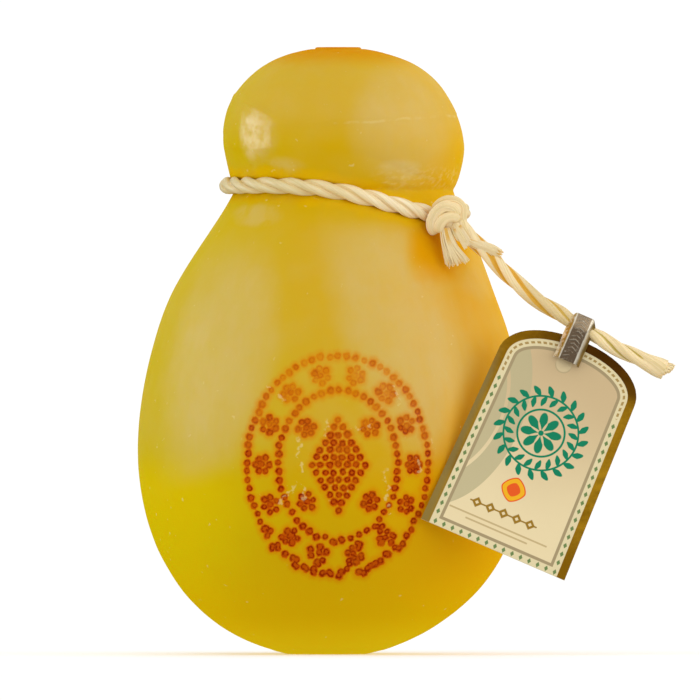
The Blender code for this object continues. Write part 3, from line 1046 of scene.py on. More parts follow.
        def leaf(lean: float, radius: float, long: float, short: float, pitch: float, start: float) -> Value:
            """A ring of leaves, each an oval with pointed ends."""
            local = ((turn + start) % pitch - pitch / 2.0) * radius
            along = (reach - radius) + local * lean
            sideways = local - (reach - radius) * lean
            return (abs(along) / long + (sideways / short) ** 2.0).fall(0.86, 1.0)

        radius, offset, lean = layout.wreath_radius, layout.leaf_offset, layout.leaf_lean
        outside = leaf(lean, radius + offset, 2.7, 1.35, sector, 0.0)
        inside = leaf(-lean, radius - offset, 2.5, 1.2, sector, sector / 2.0)
        stem = abs(reach - layout.wreath_radius).fall(0.30, 0.42)
        petals = leaf(0.0, layout.rosette_radius, 3.5, 1.55, math.tau / layout.petals, 0.2)
        ring = abs(reach - layout.rosette_ring).fall(0.32, 0.44)
        return outside.most(inside).most(stem).most(petals).most(ring).most(reach.edge(1.0, 0.1))

    def _badge(self, spot: PrintSpot, tone: Value) -> Value:
        """A plain orange lozenge with a yellow border.

        Args:
            spot: The point of the card.
            tone: The colour so far.

        Returns:
            The colour with the lozenge.
        """
        layout, power = self.layout, self.layout.badge_power
        aside, above, _ = spot.from_point(layout.badge_middle)
        reach = (abs(aside) ** power + abs(above) ** power) ** (1.0 / power)
        for inset, colour in ((0.0, self.orange), (0.5, self.yellow), (2.1, self.orange)):
            tone = spot.nodes.mix(reach.edge(layout.badge_radius - inset, 0.1), tone, colour)
        return tone

    def _ornament(self, spot: PrintSpot) -> Value:
        """The share of gold: a line of linked open diamonds, and two fine rules below it.

        Args:
            spot: The point of the card.

        Returns:
            The share.
        """
        layout, pitch = self.layout, self.layout.diamond_pitch
        aside = spot.across - layout.badge_middle[0]
        step = abs((aside + pitch / 2.0) % pitch - pitch / 2.0)
        above = abs(spot.up - layout.ornament_up)
        within = abs(aside).fall(layout.ornament_half, layout.ornament_half + 0.1)
        diamonds = (step / 2.0 + above / 2.0).fall(0.9, 1.08) * within
        holes = (step / 0.7 + above / 0.7).fall(0.9, 1.2)
        links = above.fall(0.22, 0.34) * within
        fine, finer = (
            abs(spot.up - up).fall(0.22, 0.40) * abs(aside).fall(half, half + 0.2)
            for up, half in layout.fine_rules
        )
        return (diamonds * (1.0 - holes)).most(links * (1.0 - holes)).most(fine.most(finer) * 0.5)


@dataclass(frozen=True)
class Tinplate:
    """Worn tinned sheet metal: a dark crimped face, with painted light on its top and painted highlights on
    its crimps, between brassy sides with a painted highlight along the right fold and a painted reflection on
    the left.
    """

    # Painted highlights and reflections, and bare tin where worn.
    highlight_and_bare_tin: Colour = (0.93, 0.85, 0.68)
    dull: Colour = (0.26, 0.18, 0.11)
    # Painted light on the top of the face.
    upper: Colour = (0.46, 0.34, 0.21)
    brass: Colour = (0.46, 0.26, 0.03)
    shade: Colour = (0.30, 0.19, 0.04)

    crimp_pitch: float = 1.5
    crimp_slope: float = 0.5
    right_side: Pair = (2.9, 4.4)
    left_side: Pair = (-3.5, -2.8)

    def material(self, clip: ClipShape) -> Material:
        """Makes the metal.

        Args:
            clip: The sizes of the clip.

        Returns:
            The material.
        """
        nodes = Nodes("tinplate")
        place = nodes.place()
        across, up, _ = nodes.parts(nodes.chart(), CHART_UNIT / MM)
        offset = across - clip.centre / MM
        aside = abs(offset)
        worn = nodes.cloud(place, 900.0, 4.0, 0.65)
        blotch = nodes.cloud(place, 240.0, 3.0, 0.6)
        edge, fold = clip.face_width / 2.0 / MM, clip.fold / MM
        face = (aside + (worn - 0.5) * 0.3).fall(edge - 0.35, edge)
        step = abs((up + aside * self.crimp_slope) % self.crimp_pitch - self.crimp_pitch / 2.0)
        patchy = (worn * 0.5 + blotch).rise(0.62, 0.86)
        rib = step.fall(0.1, 0.4) * aside.fall(edge - 1.3, edge - 0.6) * patchy

        # Painted highlight along the right fold, darkening outwards over the right side.
        sides = nodes.mix((offset + (blotch - 0.5) * 1.2).rise(*self.right_side), self.highlight_and_bare_tin, self.shade)
        # Painted reflection on the left, brass side.
        left_reflection = (blotch * 0.6 + worn * 0.4 - (offset + 4.0) * 0.1).rise(0.44, 0.62)
        brass_with_reflection = nodes.mix(left_reflection, self.brass, self.highlight_and_bare_tin)
        sides = nodes.mix((offset + (blotch - 0.5) * 0.8).fall(*self.left_side), sides, brass_with_reflection)
        # Painted light on the top of the face, near the fold.
        front = nodes.mix((up + blotch * 2.0).rise(fold - 0.6, fold + 2.4), self.dull, self.upper)
        # Painted highlights on the crimps, and bare tin where the face is worn.
        front = nodes.mix(rib * 0.35 + worn.rise(0.56, 0.78) * 0.45, front, self.highlight_and_bare_tin)
        return nodes.dress(
            Base_Color=nodes.mix(face, sides, front), Metallic=0.55 + face * 0.3,
            Roughness=0.24 + worn * 0.2 + face * 0.12,
            Normal=nodes.bump(worn * 0.35 + rib * 0.8, 0.25 * MM, 0.8),
        )


# ---- the cheese ----


@dataclass
class CheeseShape:
    """The sizes of the cheese, in metres, and the turned shape that follows from them."""

    flat_radius: float = 14.0 * MM
    belly: tuple[float, float] = (70.7 * MM, 73.5 * MM)
    neck: tuple[float, float] = (39.6 * MM, 168.8 * MM)
    head: tuple[float, float] = (43.8 * MM, 184.5 * MM)
    crown: tuple[float, float] = (11.1 * MM, 219.6 * MM)
    cap_radius: float = 7.6 * MM
    cap_rise: float = 0.7 * MM
    depth_ratio: float = 0.97
    base_shift: float = -1.4 * MM
    belly_shift: float = 0.9 * MM
    neck_shift: float = 5.0 * MM
    crown_shift: float = 2.4 * MM
    cord_radius: float = 3.1 * MM
    cord_press: float = 1.7 * MM
    groove_gap: float = -0.25 * MM
    loop_height: float = 170.3 * MM
    loop_drop: float = 11.0 * MM
    loop_drop_angle: float = -35.0
    loop_front_spread: float = 46.0
    loop_back_spread: float = 75.0
    loop_tuck: float = 2.0 * MM
    tuck_angle: float = 8.0
    tuck_spread: float = 26.0
    arc_points: int = 400

    pulls = (
        ((29.9, 6.3), (0.0, -43.6)), ((0.0, 49.3), (5.9, -14.7)),
        ((1.6, 1.3), (0.0, -2.5)), ((0.0, 12.7), (26.6, -4.8)),
    )
    shift_heights = ((0.0, 55.0), (125.0, 172.0), (180.0, 220.0))

    def __post_init__(self) -> None:
        """Works out the fine outline that radii are read from."""
        self.outline = self._outline()

    def _outline(self) -> np.ndarray:
        """The outline from the edge of the flat spot to the edge of the crown, in four curved stretches.

        Returns:
            Rows of radius and height.
        """
        corners = np.array([(self.flat_radius, 0.0), self.belly, self.neck, self.head, self.crown])
        share = np.linspace(0.0, 1.0, self.arc_points)[1:, None]
        rest = 1.0 - share
        rows = [corners[:1]]
        for first, last, (start_pull, end_pull) in zip(corners, corners[1:], self.pulls):
            leave, arrive = first + np.array(start_pull) * MM, last + np.array(end_pull) * MM
            rows.append(
                first * rest**3 + 3.0 * leave * share * rest**2
                + 3.0 * arrive * share**2 * rest + last * share**3
            )
        return np.concatenate(rows)

    def natural_radius(self, height: Any) -> Any:
        """Radius of the cheese at a height, before the cord presses into it."""
        return np.interp(height, self.outline[:, 1], self.outline[:, 0])

    def middle_shift(self, height: Any) -> Any:
        """How far the middle of the cheese stands to the right.

        Args:
            height: Metres up.

        Returns:
            The shift, in metres.
        """
        stops = (self.base_shift, self.belly_shift, self.neck_shift, self.crown_shift)
        shift = self.base_shift
        for before, after, (low, high) in zip(stops, stops[1:], self.shift_heights):
            shift = shift + (after - before) * smooth_step(low * MM, high * MM, height)
        return shift

    def loop_dip(self, angle: Any) -> Any:
        """How far the cord loop is drawn down towards the knot.

        Args:
            angle: Degrees round the neck.

        Returns:
            The drop, in metres.
        """
        turn = (angle - self.loop_drop_angle + 180.0) % 360.0 - 180.0
        spread = np.where(turn > 0.0, self.loop_back_spread, self.loop_front_spread)
        return self.loop_drop * bell(turn, 0.0, spread)

    def loop_radius(self, height: Any, angle: Any) -> Any:
        """Distance of the cord's centre line from the middle of the cheese.

        Args:
            height: How high the cord runs there, in metres.
            angle: Degrees round the neck.

        Returns:
            The distance, in metres, which is less on the right, where the cord is tucked in behind the knot.
        """
        slope = (self.natural_radius(height - MM) - self.natural_radius(height + MM)) / (2.0 * MM)
        turn = (angle - self.tuck_angle + 180.0) % 360.0 - 180.0
        press = self.cord_press + self.loop_tuck * bell(turn, 0.0, self.tuck_spread)
        return self.natural_radius(height) + self.cord_radius * np.hypot(1.0, slope) - press

    def loop_point(self, angle: float) -> Vector:
        """A point of the cord's centre line.

        Args:
            angle: Degrees round the neck.

        Returns:
            The point.
        """
        height = self.loop_height - self.loop_dip(angle)
        radius, turn = self.loop_radius(height, angle), math.radians(angle)
        across = radius * math.cos(turn) + self.middle_shift(height)
        return Vector((across, radius * math.sin(turn) * self.depth_ratio, height))

    def grooved_radius(self, height: Any, angle: Any) -> Any:
        """Radius of the cheese at a height and an angle, with the groove that the cord presses.

        Args:
            height: Metres up.
            angle: Degrees round the neck.

        Returns:
            The radius, in metres.
        """
        radius = self.natural_radius(height)
        loop_height = self.loop_height - self.loop_dip(angle)
        reach = self.cord_radius + self.groove_gap
        offset = height - loop_height
        pressed = np.sqrt(np.maximum(reach * reach - offset * offset, 0.0))
        room = self.loop_radius(loop_height, angle) - pressed
        return np.where(np.abs(offset) < reach, np.minimum(radius, room), radius)


@dataclass
class BurntDots:
    """A generic pattern of burnt dots on the belly: a diamond inside rings and little flowers.

    Places are millimetres round the belly from the front, and millimetres up.
    """

    middle: Pair = (2.2, 69.0)
    outer: Pair = (34.0, 39.5)
    inner: Pair = (22.0, 27.0)
    between: Pair = (28.0, 33.2)
    flowers: int = 14
    petals: int = 6
    pitch: float = 3.15
    petal_reach: float = 0.82
    diamond: Pair = (12.2, 21.0)
    corner: Pair = (11.6, 13.4)
    corner_turn: float = 0.3
    dot_radius: float = 1.28
    heat_range: Pair = (0.40, 0.98)
    hot_heights: Pair = (106.0, 60.0)
    spread_range: Pair = (0.16, 0.46)
    smeared_heights: Pair = (58.0, 36.0)
    doubled_below: float = 48.0
    doubled_chance: float = 0.6
    doubled_reach: float = 1.8
    seed: int = 11
    fine_steps: int = 2000

    def _ring(self, half: Pair) -> list[Pair]:
        """Dots evenly spaced on an oval.

        Args:
            half: Its half width and half height.

        Returns:
            The dots' places.
        """
        turn = np.linspace(0.0, math.tau, self.fine_steps)
        across, up = half[0] * np.sin(turn), half[1] * np.cos(turn)
        along = np.concatenate(([0.0], np.cumsum(np.hypot(np.diff(across), np.diff(up)))))
        stops = np.linspace(0.0, along[-1], round(along[-1] / self.pitch), endpoint=False)
        return list(zip(np.interp(stops, along, across), np.interp(stops, along, up)))

    def _lattice(self) -> list[Pair]:
        """Dots on a triangular grid that fills an upright diamond.

        Returns:
            The dots' places.
        """
        rise = self.pitch * math.sqrt(0.75)
        rows, columns = math.ceil(self.diamond[1] / rise), math.ceil(self.diamond[0] / self.pitch)
        places = []
        for row in range(-rows, rows + 1):
            for column in range(-columns, columns + 1):
                across, up = (column + 0.5 * (row % 2)) * self.pitch, row * rise
                if abs(across) / self.diamond[0] + abs(up) / self.diamond[1] < 1.0:
                    places.append((across, up))
        return places

    def _flower(self, across: float, up: float, turn: float) -> list[Pair]:
        """A dot with others round it.

        Args:
            across: Its place round the belly.
            up: Its place up the belly.
            turn: Where the first of the others stands, in radians.

        Returns:
            The dots' places.
        """
        reach = self.petal_reach * self.pitch
        bends = [turn + math.tau * petal / self.petals for petal in range(self.petals)]
        return [(across, up)] + [
            (across + reach * math.sin(bend), up + reach * math.cos(bend)) for bend in bends
        ]

    def dots(self) -> np.ndarray:
        """Works out every dot.

        Returns:
            Rows of place round the belly, height, radius and heat.
        """
        draw = random.Random(self.seed)
        places = self._ring(self.outer) + self._ring(self.inner) + self._lattice()
        for index in range(self.flowers):
            turn = math.tau * (index + 0.5) / self.flowers
            places += self._flower(self.between[0] * math.sin(turn), self.between[1] * math.cos(turn), turn)
        for side_x, side_y in ((-1.0, -1.0), (-1.0, 1.0), (1.0, -1.0), (1.0, 1.0)):
            places += self._flower(side_x * self.corner[0], side_y * self.corner[1], self.corner_turn)
        cool, hot = self.heat_range
        neat, smeared = self.spread_range
        rows = []
        for across, up in places:
            height = self.middle[1] + up
            heat = cool + (hot - cool) * float(smooth_step(*self.hot_heights, height))
            heat += draw.uniform(-0.2, 0.12)
            spread = neat + (smeared - neat) * float(smooth_step(*self.smeared_heights, height))
            place = (self.middle[0] + across + draw.gauss(0.0, spread), height + draw.gauss(0.0, spread))
            radius = self.dot_radius * draw.uniform(0.88, 1.12)
            rows.append((*place, radius, min(max(heat, 0.15), 1.0)))
            if height < self.doubled_below and draw.random() < self.doubled_chance:
                reach = self.doubled_reach
                again = (place[0] + draw.uniform(-reach, reach), place[1] + draw.uniform(-reach, reach))
                rows.append((*again, radius, min(heat + 0.1, 1.0)))
        return np.array(rows)


@dataclass
class Cheese:
    """Body and head in one piece, with fine relief and the numbers that its rind is painted by."""

    shape: CheeseShape
    burns: BurntDots
    columns: int = 288
    front_share: float = 0.69
    front_half_angle: float = 38.0
    pit_depth: float = 0.34 * MM
    rim_height: float = 0.10 * MM
    lump_height: float = 0.28 * MM
    ripple_height: float = 0.05 * MM
    flake_height: float = 0.10 * MM
    lump_size: float = 31.0 * MM
    ripple_size: float = 6.5 * MM
    far_dot: float = 6.0
    far_flake: float = 9.0
    far_cord: float = 40.0
    loop_from: float = -50.0
    loop_to: float = -395.0
    loop_points: int = 120
    loop_above: float = 120.0 * MM
    cap_shares: tuple[float, ...] = (1.0, 0.93, 0.7, 0.4, 0.0)

    row_heights = (0.0, 22.0, 27.0, 110.0, 114.0, 146.0, 151.0, 181.0, 186.0, 222.0)
    row_steps = (2.2, 2.2, 0.43, 0.43, 1.8, 1.8, 0.62, 0.62, 1.1, 1.1)

    flakes = (
        ((-22.5, 97.8), (-19.0, 95.5), (-17.1, 92.4)),
        ((-11.9, 79.0), (-11.2, 73.0), (-10.4, 66.5)),
        ((-17.6, 56.0), (-15.0, 59.0), (-12.2, 62.8), (-10.2, 61.0), (-8.5, 56.9)),
        ((20.0, 68.0), (20.6, 60.0), (21.6, 51.5)),
        ((9.5, 82.0), (14.5, 82.8)),
        ((31.5, 71.5), (32.4, 66.0)),
        ((24.0, 97.0), (25.0, 91.0)),
        ((-2.0, 84.5), (-0.6, 79.0)),
    )

    right_pushes = (
        (0.0, 0.6), (8.7, 0.8), (23.0, 0.6), (34.0, 0.3), (48.0, 0.0), (165.0, 0.0), (173.0, 0.5),
        (179.0, 0.5), (187.0, 0.15), (198.0, 0.15), (202.5, 0.45), (206.5, 1.0), (211.0, 1.5), (215.0, 1.7),
        (219.0, 1.2),
    )
    left_pushes = (
        (0.0, 0.0), (8.7, 0.5), (16.0, 0.85), (30.5, 0.8), (38.0, 0.35), (50.0, 0.0), (165.0, 0.1),
        (176.0, 0.45), (182.5, 0.4), (187.0, 0.1), (198.0, 0.0), (202.5, 0.25), (206.5, 0.7), (211.0, 0.9),
        (217.5, 0.4), (220.0, 0.0),
    )

    def _rows(self) -> np.ndarray:
        """Picks the rows of the mesh, close together at the burnt dots and at the cord.

        Returns:
            Rows of radius and height along the outline.
        """
        outline = self.shape.outline
        along = np.concatenate(([0.0], np.cumsum(np.hypot(*np.diff(outline, axis=0).T))))
        step = np.interp(outline[:, 1] / MM, self.row_heights, self.row_steps) * MM
        count = np.concatenate(([0.0], np.cumsum(np.diff(along) / ((step[1:] + step[:-1]) / 2.0))))
        stops = np.linspace(0.0, count[-1], int(count[-1]) + 1)
        return np.stack([np.interp(stops, count, column) for column in outline.T], axis=1)

    def _turned(self) -> BMesh:
        """Spins the outline into a closed skin, still plain and round.

        Returns:
            The bmesh.
        """
        shape = self.shape
        top = shape.crown[1] + 0.3 * MM
        outline = [(share * shape.flat_radius, 0.0) for share in (0.0, 0.35, 0.7)]
        outline += [tuple(row) for row in self._rows()]
        outline += [(shape.cap_radius + 1.6 * MM, top), (shape.cap_radius + 0.3 * MM, top)]
        for share in self.cap_shares:
            outline.append((shape.cap_radius * share, top + shape.cap_rise * (1.0 - 0.25 * (share > 0.95))))
        bm = bmesh.new()
        corners = [bm.verts.new((radius, 0.0, height)) for radius, height in outline]
        edges = [bm.edges.new(pair) for pair in zip(corners, corners[1:])]
        bmesh.ops.spin(
            bm, geom=corners + edges, cent=(0.0, 0.0, 0.0), axis=(0.0, 0.0, 1.0),
            angle=math.tau, steps=self.columns, use_merge=True,
        )
        bmesh.ops.remove_doubles(bm, verts=bm.verts, dist=2.0 * WELD)
        bmesh.ops.recalc_face_normals(bm, faces=bm.faces)
        return bm

    def _shaped(self, points: np.ndarray) -> tuple[np.ndarray, np.ndarray]:
        """Gives the round skin its lean, its depth and the groove of the cord.

        Args:
            points: The places of the round skin's vertices.

        Returns:
            The new places, and for each the millimetres round the belly from the front.
        """
        shape = self.shape
        radius, height = np.hypot(points[:, 0], points[:, 1]), points[:, 2].copy()
        turn = (np.degrees(np.arctan2(points[:, 1], points[:, 0])) + 270.0) % 360.0 - 180.0
        even = 180.0 * self.front_share
        real = self.front_half_angle
        turn = np.interp(turn, (-180.0, -even, even, 180.0), (-180.0, -real, real, 180.0))
        angle = turn - 90.0
        near_neck = smooth_step(118.0 * MM, 158.0 * MM, height) * smooth_step(208.0 * MM, 178.0 * MM, height)
        height -= (shape.loop_dip(angle) - (shape.loop_height - shape.neck[1])) * near_neck
        radius = np.where(near_neck > 0.0, shape.grooved_radius(height, angle), radius)
        bend = np.radians(angle)
        across = radius * np.cos(bend) + shape.middle_shift(height)
        for pushes, side in ((self.right_pushes, np.cos(bend)), (self.left_pushes, -np.cos(bend))):
            across += np.interp(height / MM, *zip(*pushes)) * MM * smooth_step(0.0, 1.0, side)
        places = np.stack([across, radius * np.sin(bend) * shape.depth_ratio, height], axis=1)
        return places, radius * np.radians(turn) / MM

    def _dot_fields(self, around: np.ndarray, height: np.ndarray) -> tuple[np.ndarray, np.ndarray]:
        """Distance from the nearest burnt dot, in its radii, and that dot's heat.

        Args:
            around: Millimetres round the belly.
            height: Millimetres up.

        Returns:
            The distance and the heat at each point.
        """
        distance, heat = np.full(len(around), self.far_dot), np.zeros(len(around))
        for place, up, radius, hot in self.burns.dots():
            reach = np.hypot(around - place, height - up) / radius
            nearer = reach < distance
            distance[nearer], heat[nearer] = reach[nearer], hot
        return distance, heat

    def _flake_field(self, across: np.ndarray, height: np.ndarray, front: np.ndarray) -> np.ndarray:
        """Distance in millimetres from the dry, chalky cracks between the dots.

        Args:
            across: Millimetres to the right.
            height: Millimetres up.
            front: Whether each point is on the front.

        Returns:
            The distance at each point.
        """
        nearest = np.full(len(across), self.far_flake)
        across = across + 0.7 * np.sin(height * 0.8) + 0.4 * np.sin(height * 2.1 + across)
        height = height + 0.5 * np.sin(across * 1.3)
        for line in self.flakes:
            nearest = np.minimum(nearest, line_distance(across, height, line))
        return np.where(front, nearest, self.far_flake)

    def _folds(self, across: np.ndarray, height: np.ndarray, front: np.ndarray) -> np.ndarray:
        """Handmade folds of the head and neck: the seam, the collar on the left and the wrinkles by the cord.

        Args:
            across: Millimetres to the right.
            height: Millimetres up.
            front: Whether each point is on the front.

        Returns:
            The relief at each point, in metres along the skin's normal.
        """
        seam_height = 192.0 + 0.07 * across + 0.3 * np.sin(across * 0.31)
        seam = -0.26 * bell(height, seam_height, 0.7) * smooth_step(-18.0, 6.0, across)
        seam += 0.20 * smooth_step(-0.8, 0.8, height - seam_height) * bell(height, seam_height, 7.0)
        collar_height = 203.5 - 0.55 * (across + 36.0)
        collar = 0.30 * bell(height, collar_height, 1.1) * smooth_step(-12.0, -26.0, across)
        slant = height + 0.42 * across
        wrinkle = 0.10 * np.sin(slant * 1.9) * bell(across, 32.0, 13.0) * bell(height, 173.0, 7.0)
        fold = -0.35 * bell(slant, 186.5, 1.3) * bell(across, 30.0, 16.0)
        return (np.where(front, seam + wrinkle + fold, 0.0) + collar) * MM

    def build(self) -> Object:
        """Makes the cheese.

        Returns:
            The piece.
        """
        bm = self._turned()
        bm.verts.ensure_lookup_table()
        places, around = self._shaped(np.array([vertex.co[:] for vertex in bm.verts]))
        across, height = places[:, 0] / MM, places[:, 2] / MM
        front = places[:, 1] < 0.0
        distance, heat = self._dot_fields(around, height)
        flake = self._flake_field(across, height, front)
        relief = -self.pit_depth * smooth_step(1.0, 0.45, distance) * (0.35 + 0.65 * heat)
        relief += self.rim_height * bell(distance, 1.22, 0.22) * heat
        relief += self.flake_height * smooth_step(1.0, 0.3, flake) + self._folds(across, height, front)
        for vertex, place in zip(bm.verts, places):
            vertex.co = place
        bm.normal_update()
        low, high = 1.5 * MM, self.shape.crown[1] - 1.0 * MM
        for vertex, lift, place in zip(bm.verts, relief, places):
            if low < place[2] < high:
                spot = Vector(place)
                lump = noise.noise(spot / self.lump_size) * self.lump_height
                ripple = noise.noise(spot / self.ripple_size) * self.ripple_height
                vertex.co += vertex.normal * (float(lift) + lump + ripple)
        card, lean = Vector(TagShape.corner) * MM, math.tan(math.radians(TagShape.turn))
        finish = Rind().material(Vector(Knot.middle) * MM, card, lean)
        piece = piece_from("cheese_rind", bm, finish, "rind", "cheese", sharp_angle=60.0)
        fields = {
            "dot_distance": distance, "dot_heat": heat, "flake_distance": flake,
            "cord_distance": self._cord_field(places),
        }
        for name, numbers in fields.items():
            field = piece.data.attributes.new(name, "FLOAT", "POINT")
            field.data.foreach_set("value", numbers.astype(np.float32))
        return piece

    def _cord_field(self, places: np.ndarray) -> np.ndarray:
        """Distance in millimetres from the skin of the neck cord.

        Args:
            places: The points, in metres.

        Returns:
            The distance at each point above the belly, and a large one below.
        """
        angles = np.linspace(self.loop_from, self.loop_to, self.loop_points)
        route = np.array([self.shape.loop_point(angle)[:] for angle in angles])
        near = places[:, 2] > self.loop_above
        gaps = np.linalg.norm(places[near][:, None, :] - route[None, :, :], axis=2).min(axis=1)
        distance = np.full(len(places), self.far_cord)
        distance[near] = (gaps - self.shape.cord_radius) / MM
        return distance


# ---- the cord ----


class Hand(Enum):
    """Which way the strands of a rope are laid."""

    LEFT = -1.0
    RIGHT = 1.0


@dataclass
class Rope:
    """A rope of three strands laid round each other."""

    radius: float = 3.1 * MM
    lay_length: float = 31.0 * MM
    hand: Hand = Hand.RIGHT
    strands: int = 3
    strand_share: float = 0.54
    opened_share: float = 0.88
    crease_share: float = 0.78
    columns: int = 66
    step: float = 0.6 * MM
    rib_height: float = 0.06 * MM
    rib_length: float = 13.0 * MM
    rib_turns: float = 4.6
    swell: float = 0.09
    swell_length: float = 11.0 * MM
    wander: float = 0.30
    wander_length: float = 19.0 * MM
    start_turn: float = 0.0

    def outline(self, turn: float, along: float, opened: float) -> float:
        """The rope's outline before it is turned by its lay.

        Args:
            turn: The angle round the rope, in radians, which is 0 in a crease.
            along: Metres along the rope.
            opened: How far the strands have opened into one loose bundle, from 0 to 1.

        Returns:
            The distance from its centre line, in metres.
        """
        best = 0.0
        share = self.strand_share + (self.opened_share - self.strand_share) * opened
        for strand in range(self.strands):
            middle = math.tau * (strand + 0.5) / self.strands
            spot = Vector((along / self.swell_length, strand * 7.3, self.start_turn))
            strand_radius = self.radius * share * (1.0 + self.swell * noise.noise(spot))
            offset = self.radius * (1.0 - share)
            gap = strand_radius**2 - (offset * math.sin(turn - middle)) ** 2
            if gap > 0.0:
                best = max(best, offset * math.cos(turn - middle) + math.sqrt(gap))
        return best

    def skin(self, bm: BMesh, route: Sequence[Vector], shares: Sequence[Point] | None = None) -> None:
        """Adds the rope to a bmesh.

        Args:
            bm: The bmesh.
            route: The points of its centre line, a step apart.
            shares: At each point, the rope's height and depth as shares of its full size, and how far its
                strands have opened.
        """
        length = route_length(route)
        last = len(route) - 1
        crease_depth = self.radius - self.radius * self.crease_share

        def section(share: float, ring: int) -> tuple[float, float, float]:
            """The outline at a share of the way round and at a ring."""
            along = length * ring / last
            turn = math.tau * share
            tall, deep, opened = shares[ring] if shares else (1.0, 1.0, 0.0)
            reach = self.outline(turn, along, opened)
            around = (math.cos(turn) * self.rib_turns, math.sin(turn) * self.rib_turns)
            spot = Vector((*around, along / self.rib_length + self.start_turn))
            ribs = noise.noise(spot) * 0.9 + noise.noise(spot * 2.3) * 0.6
            reach += ribs * self.rib_height * (1.0 + opened)
            wander = self.wander * noise.noise(Vector((along / self.wander_length, 5.1, self.start_turn)))
            laid = turn + self.start_turn + self.hand.value * math.tau * along / self.lay_length + wander
            # How deep in a crease between the strands the point lies, where the twine paints shade.
            depth = (self.radius - reach) / crease_depth * (1.0 - opened)
            return reach * math.cos(laid) * tall, reach * math.sin(laid) * deep, depth

        sweep(bm, route, carried_frames(route), self.columns, section)


@dataclass
class Fibres:
    """Loose ends of flat plant fibre."""

    thickness: float = 0.30 * MM
    step: float = 1.4 * MM
    columns: int = 8
    taper: float = 0.55
    tip_share: float = 0.2
    tip_shade: float = 0.35
    even_shade: float = 0.0

    def ribbon(self, bm: BMesh, points: Sequence[Vector], facing: Vector, width: float, shade: float) -> None:
        """Adds one ribbon, which narrows a little to its ragged tip.

        Args:
            bm: The bmesh.
            points: A few points from its root to its tip.
            facing: What its flat side faces.
            width: Its width, in metres.
            shade: How much painted amber shade its root gets.
        """
        route = smooth_route(points, self.step)
        last = len(route) - 1

        def section(share: float, ring: int) -> tuple[float, float, float]:
            """A flat oval that narrows towards the tip."""
            turn = math.tau * share
            taper = 1.0 - self.taper * (ring / last) ** 4
            burnt = self.tip_shade * max(ring / last - (1.0 - self.tip_share), 0.0) / self.tip_share
            # Painted shade at the root, where the ribbon leaves the cord or the knot.
            root = shade * (self.even_shade + (1.0 - ring / last) ** 2)
            up, side = self.thickness * 0.5 * math.cos(turn), width * 0.5 * math.sin(turn)
            return up * taper, side * taper, root + burnt

        sweep(bm, route, carried_frames(route, facing), self.columns, section)


@dataclass
class NeckCord:
    """The loop of cord round the neck, down to the knot."""

    shape: CheeseShape
    rope: Rope
    start_angle: float = -47.0
    end_angle: float = -398.0
    points: int = 130

    def build(self) -> Object:
        """Makes the loop.

        Returns:
            The piece.
        """
        angles = np.linspace(self.start_angle, self.end_angle, self.points)
        route = smooth_route([self.shape.loop_point(float(angle)) for angle in angles], self.rope.step)
        bm = bmesh.new()
        self.rope.skin(bm, route)
        finish = Twine().material("neck_twine", 0.2, 42.0, 0.16 * MM)
        return piece_from("neck_cord_strands", bm, finish, "twine", "neck_cord")


